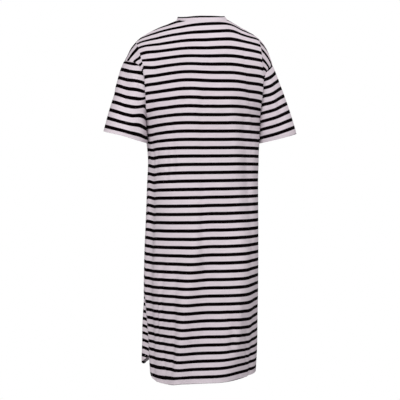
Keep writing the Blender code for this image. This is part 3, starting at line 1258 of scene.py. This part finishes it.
    def stripe_count(self, share: Array, x: Array, y: Array) -> Array:
        """Stripes down from the neck at each point, whole numbers on the middle of a black one.

        Args:
            share: -1 at the wearer's right edge, 1 at the left.
            x: Across, in flat metres.
            y: Up, in flat metres.

        Returns:
            The count.
        """
        rise = np.maximum(y - UNDERARM_Z, 0.0) / YOKE_LENGTH
        low = np.polyval(BODY_COUNT, np.minimum(y, UNDERARM_Z)) + YOKE_STEP * smooth(rise / YOKE_STEP_RISE)
        high = sum(factor * rise**upward * share**across for factor, upward, across in YOKE_COUNT)
        return low + high + sum(pull.shift(x, y) for pull in self.pulls) / STRIPE_REPEAT

    # -- the laid-out piece --
    def columns(self) -> tuple[Array, Array, int]:
        """Lay out the columns, closer together by the fold lines and the side edges.

        Returns:
            Their shares down the body, their shares at the top edge, and the column on the right fold line.
        """
        neck = np.linspace(0.0, 1.0, round(NECK_SHARE * HALF_GIRTH / BROAD_STEP) + 1)
        broad_part, inner_part, outer_part = FOLD_FROM - NECK_SHARE, FOLD_SHARE - FOLD_FROM, 1.0 - FOLD_SHARE
        broad = np.linspace(NECK_SHARE, FOLD_FROM, round(broad_part * HALF_GIRTH / BROAD_STEP) + 1)
        inner = FOLD_SHARE - inner_part * crowded(inner_part * HALF_GIRTH, FOLD_STEPS, both=False)[::-1]
        outer = 1.0 - outer_part * crowded(outer_part * HALF_GIRTH, EDGE_STEPS)[::-1]
        rows = []
        for middle in (NECK_SHARE * neck, NECK_SHARE * np.sin(neck * math.pi / 2.0)):
            half = np.concatenate([middle, broad[1:], inner[1:], outer[1:]])
            rows.append(np.concatenate([-half[:0:-1], half]))
        return rows[0], rows[1], len(outer) - 1

    def levels(self) -> Array:
        """Row levels, closer together by the hem and the top edge.

        Returns:
            The levels, hem first.
        """
        slit = -2.0 + crowded(SLIT_TOP_Z - self.hem_z, EDGE_STEPS, both=False)
        body = np.linspace(-1.0, 0.0, round((UNDERARM_Z - SLIT_TOP_Z) / BODY_STEP) + 1)
        top = 1.0 - crowded(UPPER_LENGTH, EDGE_STEPS, both=False)[::-1]
        return np.concatenate([slit, body[1:], top[1:]])

    def folds_beside(self, share: Array) -> list[tuple[FoldLine, Array]]:
        """The panel's fold lines, each with the points on its side of the middle."""
        both = ((self.left_fold, share > 0.0), (self.right_fold, share < 0.0))
        return [(fold, side) for fold, side in both if fold is not None]

    def warped(self, share: Array, level: Array) -> Array:
        """Draw the columns over so that one of them runs along each fold line.

        Args:
            share: Their even shares.
            level: How far up the panel.

        Returns:
            The share of each point.
        """
        reach = np.abs(share)
        out = share.copy()
        for fold, side in self.folds_beside(share):
            line = fold.share(level)
            inside = FOLD_FROM + (reach - FOLD_FROM) * (line - FOLD_FROM) / (FOLD_SHARE - FOLD_FROM)
            outside = line + (reach - FOLD_SHARE) * (1.0 - line) / (1.0 - FOLD_SHARE)
            moved = np.where(reach <= FOLD_FROM, reach, np.where(reach <= FOLD_SHARE, inside, outside))
            out = np.where(side, np.sign(share) * moved, out)
        return out

    def hem_wave(self, x: Array, to_hem: Array) -> Array:
        """Lift of the soft waves between the hem's stitches."""
        turn = 2.0 * math.pi * x / HEM_WAVE_LENGTH + HEM_WANDER * np.sin(x * HEM_WANDER_RATE)
        return HEM_WAVE * np.sin(turn) * np.exp(-((to_hem / HEM_STITCHES[0] - 0.5) ** 2))

    def sheet(self) -> Sheet:
        """Lay out the panel with its creases, seams and turned edges.

        Returns:
            The panel's cloth.
        """
        even, top, beyond = self.columns()
        level = np.tile(self.levels(), (len(even), 1))
        share = self.warped(even[:, None] + (top - even)[:, None] * np.clip(level, 0.0, 1.0), level)
        points = self.point(share, level)
        x, y = self.flat_place(share, level)
        to_side = (1.0 - np.abs(share)) * HALF_GIRTH
        full = self.column_length(share[:, -1:], np.ones_like(share[:, -1:]))
        to_top = np.where(level > 0.0, (1.0 - level) * full, FAR)
        to_hem = y - self.hem_height(share)
        slit = y < SLIT_TOP_Z - SLIT_SEWN
        seam = np.minimum(np.where(slit, FAR, to_side), to_top)
        free = np.minimum(to_hem, np.where(slit, to_side, FAR))
        settle = smooth(seam / SEAM_HOLD)
        lift = self.hem_wave(x, to_hem) + sum(crease.height(x, y) for crease in self.creases)
        count = self.stripe_count(share, x, y)
        slipped = count.copy()
        for fold, side in self.folds_beside(share):
            raised, leaned = fold.lift(np.abs(share), level)
            lift = lift + np.where(side, raised, 0.0)
            points[..., 0] += np.where(side, leaned, 0.0) * np.sign(share) * settle
            slipped = np.where(side, fold.count(np.abs(share), level, count), slipped)
        offset = np.where(free < EDGE_REACH, edge_offset(free), seam_offset(seam)) + lift * settle
        points = settled(points)
        hem = edge_thickness(to_hem, HEM_DEPTH)
        edge = np.where(slit, edge_thickness(to_side, SLIT_HEM_DEPTH), CLOTH_THICK)
        thick = np.where(to_hem < EDGE_RADIUS, hem, np.maximum(hem, edge))
        thick = np.where(slit & (to_side < EDGE_RADIUS), np.minimum(hem, edge), thick)
        turn = -1 if self.face is Face.BACK else 1
        laid = [grid[::turn] for grid in (points, turn * x, -count, y, offset, thick)]
        sewn = self.stitch_lines(to_hem[::turn], to_side[::turn], y[::turn])
        return Sheet(*laid, sewn=sewn, slipped=-slipped[::turn], folds_at=(beyond, len(even) - 1 - beyond))

    def stitch_lines(self, to_hem: Array, to_side: Array, height: Array) -> list[tuple[Array, Array]]:
        """Grid places of the stitching along the hem and both slit edges.

        Args:
            to_hem: Distance of each grid point from the hem.
            to_side: Its distance from the side.
            height: Its flat height.

        Returns:
            Fractional columns and rows of each line.
        """
        columns = np.arange(len(to_hem))
        lines = []
        for distance, from_side in zip(HEM_STITCHES, HEM_STITCHES_FROM):
            inside = to_side[:, 0] > from_side
            lines.append((columns[inside], places_at(to_hem, distance)[inside]))
        middle, last = len(to_hem) // 2, len(to_hem) - 1
        rows = np.flatnonzero((to_hem[0] > HEM_STITCHES[-1]) & (height[0] < SLIT_TOP_Z - SLIT_STITCHES[0]))
        for distance in SLIT_STITCHES:
            lines.append((places_at(to_side[: middle + 1].T, distance)[rows], rows))
            lines.append((last - places_at(to_side[: middle - 1 : -1].T, distance)[rows], rows))
        return lines


@dataclass
class Sleeve(ClothPiece):
    """A short drop-shoulder sleeve, hanging from its armhole to a turned cuff."""

    arm: Arm = Arm.LEFT
    # centre_x, centre_y, centre_z, half_width, half_depth of the cuff, and how far it dips behind
    cuff: tuple[float, ...] = ()
    tilt: float = math.radians(14.5)
    start_slope: tuple[float, float, float] = (0.38, 0.0, -0.93)
    under_slope: tuple[float, float, float] = (0.045, 0.0, 0.004)
    flare: float = 0.12
    back_armhole: Rows = ()
    front_armhole: Rows = ()
    # distance of the first stripe from the cuff and of one stripe from the next, at the top and the underarm
    stripe_start: tuple[float, float] = (0.0, 0.0)
    stripe_pitch: tuple[float, float] = (STRIPE_REPEAT, STRIPE_REPEAT)
    # how far round, how wide, how far down, and how many stripes more where the cap is eased in
    eases: Rows = ()
    creases: Sequence[Crease] = ()

    def point(self, around: Array, down: Array) -> Array:
        """Middle surface of the sleeve.

        Args:
            around: 0 at the top, 0.25 behind, 0.5 at the underarm.
            down: 0 at the armhole, 1 at the cuff.

        Returns:
            The points.
        """
        turn = around % 1.0
        back = along(self.back_armhole, np.clip(1.0 - 2.0 * turn, 0.0, 1.0))
        front = along(self.front_armhole, np.clip(2.0 * turn - 1.0, 0.0, 1.0))
        start = np.where((turn < 0.5)[..., None], back, front)
        facing = 1.0 if self.arm is Arm.LEFT else -1.0
        start[..., 0] *= facing
        start = lean(start)
        start[..., 0] *= facing
        centre_x, centre_y, centre_z, half_width, half_depth, back_drop = self.cuff
        angle = turn * 2.0 * math.pi
        out = half_width * np.cos(angle)
        end_x = centre_x + out * math.cos(self.tilt)
        end_y = centre_y + half_depth * np.sin(angle)
        end_z = centre_z + out * math.sin(self.tilt) - back_drop * np.sin(angle)
        end = np.stack([end_x, end_y, end_z], axis=-1)
        length = np.linalg.norm(end - start, axis=-1)[..., None]
        under = (0.5 - 0.5 * np.cos(angle))[..., None] ** 2
        flare = np.stack([0.0 * angle, self.flare * np.sin(angle), 0.0 * angle], axis=-1)
        over_slope = (np.array(self.start_slope) + flare) * length
        slope = (1.0 - under) * over_slope + under * np.array(self.under_slope)
        axis = np.array([math.sin(self.tilt), 0.0, -math.cos(self.tilt)])
        point = hermite(start, slope, end, axis * length, down)
        point[..., 0] *= facing
        return point

    def sheet(self) -> Sheet:
        """Lay out the sleeve with its creases, seam and turned cuff.

        Returns:
            The sleeve's cloth.
        """
        rows = crowded(SLEEVE_LENGTH, EDGE_STEPS)
        around, down = np.meshgrid(np.linspace(0.0, 1.0, SLEEVE_RING), rows, indexing="ij")
        points = self.point(around, down)
        length = np.array([run_length(column) for column in points])
        to_cuff = length[:, -1:] - length
        x = np.tile(run_length(points[:, -1])[:, None], (1, len(rows)))
        inner = 0.5 - 0.5 * np.cos(around * 2.0 * math.pi)
        start = self.stripe_start[0] + (self.stripe_start[1] - self.stripe_start[0]) * inner
        pitch = self.stripe_pitch[0] + (self.stripe_pitch[1] - self.stripe_pitch[0]) * inner
        count = (to_cuff - start) / pitch
        for at, width, reach, more in self.eases:
            count = count + more * np.exp(-(((around - at) / width) ** 2)) * smooth(1.0 - length / reach)
        offset = np.where(to_cuff < EDGE_REACH, edge_offset(to_cuff), seam_offset(length))
        # a crease near the ring's start also reaches round its end
        turns = (x, x - x[-1, 0], x + x[-1, 0])
        creased = sum(crease.height(at, to_cuff) for crease in self.creases for at in turns)
        offset = offset + creased * smooth(length / SLEEVE_SEAM_HOLD)
        points = settled(points)
        thick = edge_thickness(to_cuff, CUFF_HEM_DEPTH)
        turn, sign = (-1, -1.0) if self.arm is Arm.LEFT else (1, 1.0)
        laid = [grid[::turn] for grid in (points, sign * x, count, to_cuff, offset, thick)]
        columns = np.arange(SLEEVE_RING)
        sewn = [(columns, places_at(laid[3], distance)) for distance in CUFF_STITCHES]
        return Sheet(*laid, closed=True, sewn=sewn)


@dataclass
class Neckband(ClothPiece):
    """The folded band round the neck opening."""

    back: BodyPanel | None = None
    front: BodyPanel | None = None
    rise_side: float = 0.0115
    rise_middle: float = 0.0190
    # how far it leans in at the wearer's left, and at the right
    lean_side: tuple[float, float] = (0.0035, 0.0095)
    lean_middle: float = 0.0060
    tilt: float = 0.0002
    slant: float = 0.10
    slant_at: float = 0.12

    def point(self, around: Array, rise: Array) -> Array:
        """Middle surface of the band.

        Args:
            around: 0 at the centre back, 0.25 at the left shoulder.
            rise: 0 at the seam, 1 at the fold.

        Returns:
            The points.
        """
        quarter = (around % 1.0) * 4.0
        back = (quarter <= 1.0) | (quarter >= 3.0)
        to_side = 1.0 - np.abs(quarter % 2.0 - 1.0)
        share = NECK_SHARE * np.sin(to_side * math.pi / 2.0) * np.where(quarter <= 2.0, 1.0, -1.0)
        level = np.ones_like(share)
        seam = np.where(back[..., None], self.back.point(share, level), self.front.point(share, level))
        angle = quarter * math.pi / 2.0
        upward = self.rise_middle + (self.rise_side - self.rise_middle) * np.sin(angle) ** 2
        upward = upward - self.tilt * np.sin(angle)
        lean_in = np.where(np.sin(angle) > 0.0, *self.lean_side)
        inward = [-lean_in * np.sin(angle), -self.lean_middle * np.cos(angle), upward]
        return seam + rise[..., None] * np.stack(inward, axis=-1)

    def sheet(self) -> Sheet:
        """Lay out the band with its seam and its folded top edge.

        Returns:
            The band's cloth.
        """
        rows = crowded(BAND_HEIGHT, EDGE_STEPS[:4])
        around, rise = np.meshgrid(np.linspace(0.0, 1.0, BAND_RING), rows, indexing="ij")
        points = self.point(around, rise)
        x = np.tile(run_length(points[:, 0])[:, None], (1, len(rows)))
        to_seam, to_fold = rise * BAND_HEIGHT, (1.0 - rise) * BAND_HEIGHT
        offset = np.where(to_fold < EDGE_REACH, edge_offset(to_fold), HALF_WALL)
        offset = offset - HALF_WALL * np.exp(-((to_seam / GROOVE_WIDTH) ** 2))
        # two layers all the way down
        thick = edge_thickness(to_fold, 2.0 * BAND_HEIGHT)
        points = settled(points)
        # the cut runs a little off the courses, so more of the black one shows at the wearer's left
        slant = self.slant * np.cos((around - self.slant_at) * 2.0 * math.pi)
        laid = (points, -x, rise + slant, to_seam, offset, thick)
        return Sheet(*(grid[::-1] for grid in laid), closed=True)


# ---- the garment ----
BACK_ARMHOLE = (
    (0.1751, 0.000, -0.3150),
    (0.1757, 0.018, -0.3085),
    (0.1784, 0.039, -0.2870),
    (0.1850, 0.054, -0.2350),
    (0.1910, 0.054, -0.1930),
    (0.2040, 0.047, -0.1640),
    (0.2210, 0.032, -0.1490),
    (0.2350, 0.015, -0.1420),
    (0.2395, 0.000, -0.1410),
)
FRONT_ARMHOLE = (
    (0.1751, 0.000, -0.3150),
    (0.1757, -0.021, -0.3080),
    (0.1775, -0.045, -0.2860),
    (0.1825, -0.066, -0.2350),
    (0.1900, -0.066, -0.1930),
    (0.2030, -0.055, -0.1640),
    (0.2200, -0.036, -0.1490),
    (0.2350, -0.016, -0.1420),
    (0.2395, 0.000, -0.1410),
)
# share, y, z of the cloth's direction where it reaches the hanger line
BACK_SLOPE = (
    (-0.15, -0.295, 0.053),
    (0.00, -0.300, 0.050),
    (0.15, -0.295, 0.053),
    (0.45, -0.255, 0.055),
    (1.00, -0.180, 0.080),
)
FRONT_SLOPE = (
    (-0.15, 0.202, 0.080),
    (0.00, 0.200, 0.080),
    (0.15, 0.202, 0.080),
    (0.45, 0.250, 0.055),
    (1.00, 0.180, 0.080),
)
# share_top, share_hem, half_width, height, start_z of each large fold
BACK_FOLDS = (
    (0.03, 0.45, 0.17, 0.0178, -0.49),
    (-0.69, -0.07, 0.39, 0.0200, -0.49),
    (0.06, 0.06, 0.17, -0.0040, -0.41),
    (0.77, 0.72, 0.29, -0.0053, -0.30),
    (0.86, 0.88, 0.06, -0.0030, -0.33),
    (-0.60, -0.55, 0.07, -0.0040, -0.80),
)
FRONT_FOLDS = (
    (0.30, 0.42, 0.20, 0.0140, -0.45),
    (-0.20, -0.36, 0.22, 0.0150, -0.50),
    (0.05, 0.03, 0.14, -0.0050, -0.55),
    (-0.72, -0.70, 0.16, -0.0040, -0.38),
    (0.70, 0.74, 0.14, -0.0050, -0.42),
)

# the folds beside the back's armholes
LEFT_FOLD = FoldLine(
    path=(
        (-2.00, 0.930, 0, 0, 30, 6),
        (-0.20, 0.930, 1, 0, 28, 6),
        (-0.08, 0.932, 4.2, 0.8, 24, 5.5),
        (0.00, 0.938, 6.8, 1.5, 22, 5),
        (0.10, 0.946, 8, 4.2, 20, 5),
        (0.20, 0.951, 7.2, 7, 22, 5.5),
        (0.30, 0.955, 5, 9.5, 26, 6),
        (0.40, 0.957, 4, 10.5, 28, 6),
        (0.50, 0.959, 3, 9.5, 30, 6),
        (0.60, 0.960, 2.5, 6.5, 30, 6),
        (0.66, 0.961, 3, 3.5, 28, 6),
        (0.72, 0.955, 3, 1, 26, 5),
        (0.79, 0.930, 3, 0, 24, 4),
        (0.89, 0.900, 2.6, 0, 22, 4),
        (0.96, 0.885, 1.5, 0, 20, 4),
        (1.00, 0.880, 0, 0, 20, 4),
    ),
    beyond=((1.06, 0.0), (0.97, 1.0), (0.89, 2.0), (0.784, 3.0), (0.705, 4.0), (0.63, 5.0), (0.56, 6.0)),
    climb=0.028,
    free_from=0.62,
    free_to=0.72,
)
RIGHT_FOLD = FoldLine(
    path=(
        (-2.00, 0.930, 0, 0, 30, 25),
        (-0.50, 0.860, 0, 0, 30, 25),
        (-0.30, 0.830, 0, 1, 30, 25),
        (-0.20, 0.830, 0, 3.5, 30, 25),
        (-0.10, 0.850, 1, 8.5, 30, 20),
        (0.00, 0.880, 3, 10.5, 28, 14),
        (0.10, 0.910, 5, 7, 28, 9),
        (0.20, 0.930, 7, 2.5, 30, 8),
        (0.30, 0.950, 8, 0.5, 30, 6),
        (0.45, 0.955, 8, 0, 30, 6),
        (0.60, 0.943, 5, 0, 28, 6),
        (0.70, 0.893, 3, 0, 26, 6),
        (0.79, 0.850, 2.5, 0, 24, 6),
        (0.89, 0.806, 2, 0, 22, 6),
        (0.95, 0.785, 1, 0, 20, 6),
        (1.00, 0.770, 0, 0, 20, 6),
    ),
    beyond=((1.00, 1.0), (0.90, 2.0), (0.823, 3.0), (0.724, 4.0), (0.651, 5.0), (0.570, 6.0), (0.50, 7.0)),
    climb=0.070,
    free_from=0.56,
    free_to=0.66,
)

# x, y, reach_x, reach_y, rise; the back's are fitted together, so one row isn't a real pull of its own
BACK_PULLS = built(Pull, (
    (-195, -229, 66, 168, -6.8),
    (251, -268, 61, 53, 10),
    (219, -329, 76, 160, -6.2),
    (113, -71, 127, 105, -9),
    (-107, -1078, 73, 67, 5.5),
    (-126, -944, 39, 133, -10),
    (255, -1103, 89, 36, -6.5),
    (-240, -266, 130, 91, 10),
    (114, 50, 83, 320, 10),
    (-104, -21, 39, 45, 4.5),
    (-160, -5, 34, 36, -10),
    (-137, -879, 39, 131, 7.3),
    (229, -566, 24, 349, -3.9),
    (112, -855, 130, 53, 0.9),
    (229, -412, 87, 40, 4.7),
    (255, -570, 42, 140, 4.2),
    (235, -76, 33, 36, 10),
    (11, -667, 32, 122, 0.9),
    (108, 30, 32, 22, 12),
))
FRONT_PULLS = built(Pull, (
    (236, -1060, 50, 190, 23.5),
    (262, -960, 22, 130, -12),
))
# start_x, start_y, end_x, end_y, width, depth, bow
BACK_CREASES = built(Crease, (
    (-124, -250, -122, -600, 18, -5),
    (-64, -230, -78, -537, 22, 5.8),
    (-80, -506, -83, -822, 20, 4.8),
    (-186, -175, -140, -476, 11, -2.8),
    (-137, -445, -116, -871, 14, -3),
    (36, -200, 33, -504, 16, -5.2),
    (34, -474, 35, -698, 13, -5),
    (38, -647, 19, -809, 10, -3.6, 4),
    (22, -785, -21, -860, 9, -3.6, -6),
    (-19, -842, -54, -956, 9, -5.2, 4),
    (-54, -929, -47, -1033, 10, -4.6),
    (-73, -818, -72, -1021, 11, 3.2),
    (138, -264, 127, -539, 6.5, -4),
    (152, -390, 156, -520, 6, -3.2),
    (92, -176, 119, -365, 8, -1.6),
    (112, -249, 102, -347, 7, -1.4),
    (118, -718, 124, -890, 9, -3.6),
    (122, -854, 140, -1105, 9, -5),
    (89, -858, 118, -1096, 10, 3),
    (164, -719, 175, -959, 7, -3),
    (178, -954, 170, -1089, 8, -3),
    (187, -841, 202, -1022, 6, -2.6),
    (178, -750, 186, -972, 6, 2.2),
    (195, -648, 197, -865, 18, 4.2),
    (216, -379, 231, -471, 6, -2.2),
    (191, -399, 207, -490, 7, -1.8, 3),
    (-104, -924, -120, -1090, 7, -2.6),
    (69, -912, 73, -1012, 7, -1.8),
    (-56, -734, -66, -830, 9, -1.6),
    (205, -78, 232, -191, 13, -2.2),
    (-165, -96, -163, -175, 8, -1.6),
    (172, -250, 174, -333, 7, -1.2),
)) + built(Crease, (
    (-182, -121, -145, -316, 4.5, -2),
    (237, -579, 234, -824, 4.5, -1.8),
), profile=Profile.SHARP)
FRONT_CREASES = built(Crease, (
    (30, -230, 26, -640, 14, -4),
    (26, -600, -12, -930, 12, -4.2, 6),
    (110, -300, 125, -620, 10, 3),
    (-95, -260, -100, -700, 18, 4.2),
    (-150, -340, -132, -800, 13, -3),
    (150, -420, 158, -560, 6, -2),
    (120, -740, 140, -1070, 10, -4.6),
    (88, -820, 104, -1070, 10, 3),
    (-60, -860, -85, -1060, 10, -4.2),
    (-40, -800, -58, -1060, 11, 2.8),
    (178, -780, 184, -1000, 7, -2.6),
    (-185, -650, -172, -980, 9, -3),
    (165, -120, 190, -300, 9, -3),
    (-165, -110, -195, -300, 9, -3.2),
    (120, -70, 150, -180, 10, 2.2),
    (-118, -60, -150, -190, 10, 2.4),
    (205, -330, 215, -520, 6, -2.2),
    (-210, -320, -214, -500, 7, -2.6),
))
SLEEVE_CREASES = {
    Arm.LEFT: built(Crease, (
        (8, 215, 4, 120, 45, 3),
        (6, 222, 72, 46, 12, -3.6),
        (33, 215, 86, 104, 10, 2.6),
        (56, 200, 84, 145, 6, -2),
        (76, 88, 126, 10, 9, -1.8),
        (300, 190, 270, 60, 10, -3.2),
        (340, 200, 325, 80, 9, 2.4),
        (245, 110, 225, 12, 8, -2.2),
    )),
    Arm.RIGHT: built(Crease, (
        (53, 148, 85, 37, 9, -3.2),
        (47, 195, 116, 38, 10, 3),
        (82, 175, 143, 44, 6, -2),
        (305, 200, 280, 70, 9, -3.4),
        (335, 180, 330, 50, 10, 2.6),
        (250, 90, 235, 15, 7, -2),
    )) + built(Crease, ((35, 200, 59, 138, 4.5, -3),), profile=Profile.SHARP),
}
# how far down from the armhole the fine easing reaches in each column, and how wide it is; fitted together too
EASE_REACHES = (0.025, 0.050, 0.100, 0.180)
EASE_WIDTH = 0.05


def eased(broad: Rows, fine: Rows) -> list[tuple[float, ...]]:
    """Rows of around, width, reach and stripes more: the broad ones, and the fine table's steps."""
    steps = [(at, EASE_WIDTH, reach, more) for at, *mores in fine for reach, more in zip(EASE_REACHES, mores)]
    return [*broad, *steps]


SLEEVE_EASES = {
    Arm.LEFT: eased(
        (
            (0.07, 0.09, 0.030, 0.36),
            (0.19, 0.06, 0.090, -0.26),
            (0.31, 0.07, 0.085, -0.34),
            (0.29, 0.06, 0.180, -0.38),
            (0.27, 0.06, 0.090, 0.50),
        ),
        (
            (0.04, 0.00, 0.02, 0.00, 0.04),
            (0.10, 0.00, 0.00, -0.04, 0.02),
            (0.16, 0.00, 0.03, 0.00, -0.09),
            (0.22, 0.00, 0.06, 0.00, -0.16),
            (0.28, 0.00, 0.06, -0.10, -0.22),
            (0.34, 0.00, 0.02, -0.18, -0.15),
            (0.40, 0.00, -0.09, -0.14, -0.06),
            (0.46, 0.00, -0.13, -0.10, -0.06),
        ),
    ),
    Arm.RIGHT: eased(
        ((0.24, 0.10, 0.120, 0.10),),
        (
            (0.04, -0.04, -0.03, 0.00, -0.02),
            (0.10, -0.08, 0.07, 0.15, 0.00),
            (0.16, 0.00, 0.00, 0.08, 0.12),
            (0.22, 0.04, -0.04, -0.15, 0.23),
            (0.28, 0.00, -0.04, -0.07, 0.11),
            (0.34, 0.00, 0.00, 0.03, 0.00),
            (0.40, 0.00, 0.00, 0.04, -0.06),
        ),
    ),
}
# centre_x, centre_y, centre_z, half_width, half_depth, back_drop of each cuff
CUFFS = {
    Arm.LEFT: (0.2455, 0.014, -0.3735, 0.0685, 0.057, 0.0065),
    Arm.RIGHT: (0.2475, 0.014, -0.3725, 0.0665, 0.057, 0.0),
}


@dataclass
class Dress:
    """The whole garment: five cut pieces sewn together."""

    striped: StripedJersey = StripedJersey("striped_single_jersey_yarn_dyed")
    plain: BandJersey = BandJersey("plain_single_jersey_folded")

    def back(self) -> BodyPanel:
        """Size the back panel.

        Returns:
            The back panel.
        """
        faint = strewn(seed=3, count=46, across=PANEL_REACH, up=(-1.05, 0.02), depth=0.0007)
        return BodyPanel(
            name="back",
            finish=self.striped,
            slot="striped_jersey",
            cut=(0.524, 1.115),
            cut_area=0.55,
            creases=BACK_CREASES + faint,
            pulls=BACK_PULLS,
            face=Face.BACK,
            armhole=BACK_ARMHOLE,
            hanger_slope=BACK_SLOPE,
            folds=BACK_FOLDS,
            left_fold=LEFT_FOLD,
            right_fold=RIGHT_FOLD,
        )

    def front(self) -> BodyPanel:
        """Size the front panel.

        Returns:
            The front panel.
        """
        faint = strewn(seed=5, count=60, across=PANEL_REACH, up=(-1.02, 0.0), depth=0.0008)
        return BodyPanel(
            name="front",
            finish=self.striped,
            slot="striped_jersey",
            cut=(0.530, 1.102),
            cut_area=0.54,
            creases=FRONT_CREASES + faint,
            pulls=FRONT_PULLS,
            face=Face.FRONT,
            hem_z=-1.078,
            corner_height=0.090,
            corner_width=0.085,
            neck_rise=0.600,
            neck_round=2.9,
            slit_tuck=0.031,
            underarm_rise=(-0.020, 0.33),
            armhole=FRONT_ARMHOLE,
            hanger_slope=FRONT_SLOPE,
            folds=FRONT_FOLDS,
        )

    def sleeve(self, arm: Arm) -> Sleeve:
        """Size a sleeve.

        Args:
            arm: The wearer's arm.

        Returns:
            The sleeve.
        """
        right = arm is Arm.RIGHT
        faint = strewn(seed=7 if right else 9, count=22, across=(0.0, 0.40), up=(0.05, 0.20), depth=0.0007)
        return Sleeve(
            name=f"sleeve_{arm.value}",
            finish=self.striped,
            slot="striped_jersey",
            cut=(0.460, 0.225),
            cut_area=0.065,
            rests_on=("back", "front"),
            creases=SLEEVE_CREASES[arm] + faint,
            arm=arm,
            cuff=CUFFS[arm],
            back_armhole=BACK_ARMHOLE,
            front_armhole=FRONT_ARMHOLE,
            stripe_start=(0.0234, 0.0155) if right else (0.0168, 0.0134),
            stripe_pitch=(0.0263, 0.0250) if right else (0.0263, 0.0252),
            eases=SLEEVE_EASES[arm],
        )

    def build(self) -> None:
        """Build every piece and report it."""
        back, front = self.back(), self.front()
        band = Neckband(
            name="neckband",
            finish=self.plain,
            slot="plain_jersey",
            cut=(0.535, 0.0180),
            cut_area=0.0080,
            rests_on=("back", "front"),
            back=back,
            front=front,
        )
        for part in (back, front, self.sleeve(Arm.LEFT), self.sleeve(Arm.RIGHT), band):
            piece = part.build()
            LOG.info("%s: %d points", piece.name, len(piece.data.vertices))


# ---- studio ----
WHITE = (1.0, 1.0, 1.0, 1.0)


@dataclass(frozen=True)
class SoftBox:
    """A square soft light aimed at the middle of the garment."""

    name: str
    # degrees round from the camera towards the wearer's left, and degrees up
    turn: float
    rise: float
    power: float
    distance: float = 2.9
    size: float = 1.6


SOFT_BOXES = (
    SoftBox("key_softbox", 22.0, 12.0, 58.0),
    SoftBox("right_fill_softbox", -40.0, 10.0, 12.0),
    SoftBox("right_high_softbox", -75.0, 55.0, 36.0),
    SoftBox("front_softbox", 175.0, 18.0, 62.0),
)


@dataclass
class Studio:
    """White sweep, soft lights and the camera behind the garment."""

    camera_turn: float = math.radians(15.5)
    camera_distance: float = 2.70
    camera_height: float = -0.5
    lens: float = 77.03
    sensor: float = 36.0
    shift: tuple[float, float] = (-0.0025, -0.05375)
    clip: float = 100.0
    floor_z: float = -1.45
    floor_half: float = 30.0
    ambient: float = 0.29
    aim_z: float = -0.55

    def camera(self) -> None:
        """Level camera behind the wearer's left."""
        data = bpy.data.cameras.new("camera")
        data.lens = self.lens
        data.sensor_width = self.sensor
        data.shift_x, data.shift_y = self.shift
        data.clip_end = self.clip
        camera = linked("camera", data)
        x = self.camera_distance * math.sin(self.camera_turn)
        y = self.camera_distance * math.cos(self.camera_turn)
        camera.location = (x, y, self.camera_height)
        camera.rotation_euler = (math.pi / 2.0, 0.0, math.pi - self.camera_turn)
        bpy.context.scene.camera = camera

    def world(self) -> None:
        """Even white surroundings, brighter to the lens than to the cloth."""
        world = bpy.data.worlds.new("white_surround")
        world.use_nodes = True
        tree = world.node_tree
        tree.nodes.clear()
        soft = add_node(tree, "ShaderNodeBackground", {"Color": WHITE, "Strength": self.ambient})
        bright = add_node(tree, "ShaderNodeBackground", {"Color": WHITE, "Strength": 1.0})
        seen = add_node(tree, "ShaderNodeLightPath").outputs["Is Camera Ray"]
        mix = add_node(tree, "ShaderNodeMixShader", {0: seen, 1: soft, 2: bright})
        add_node(tree, "ShaderNodeOutputWorld", {"Surface": mix})
        bpy.context.scene.world = world

    def floor(self) -> None:
        """Plain pale floor, lit to white."""
        mesh = bmesh.new()
        bmesh.ops.create_grid(mesh, x_segments=1, y_segments=1, size=self.floor_half)
        bmesh.ops.translate(mesh, verts=mesh.verts, vec=(0.0, 0.0, self.floor_z))
        floor = finished(mesh, "floor")
        material, tree = empty_material("white_paper_sweep")
        glow = add_node(tree, "ShaderNodeEmission", {"Color": WHITE, "Strength": 1.0})
        add_node(tree, "ShaderNodeOutputMaterial", {"Surface": glow})
        floor.data.materials.append(material)
        floor.visible_diffuse = False
        floor.visible_glossy = False
        floor.visible_shadow = False

    def light(self, box: SoftBox) -> None:
        """Set up a soft box.

        Args:
            box: The soft box.
        """
        data = bpy.data.lights.new(box.name, "AREA")
        data.shape = "SQUARE"
        data.size = box.size
        data.energy = box.power
        light = linked(box.name, data)
        turn = math.pi / 2.0 - self.camera_turn - math.radians(box.turn)
        rise = math.radians(box.rise)
        out = Vector((math.cos(rise) * math.cos(turn), math.cos(rise) * math.sin(turn), math.sin(rise)))
        place = Vector((0.0, 0.0, self.aim_z)) + out * box.distance
        light.matrix_world = Matrix.Translation(place) @ out.to_track_quat("Z", "Y").to_matrix().to_4x4()

    def build(self) -> None:
        """Set the studio up."""
        self.camera()
        self.world()
        self.floor()
        for box in SOFT_BOXES:
            self.light(box)
        bpy.context.scene.view_settings.view_transform = "Standard"
        LOG.info("studio: camera, floor, surround and lights")


def main() -> None:
    """Build the studio and the garment."""
    logging.basicConfig(level=logging.INFO, format="%(name)s %(message)s")
    Studio().build()
    Dress().build()


if __name__ == "__main__":
    main()
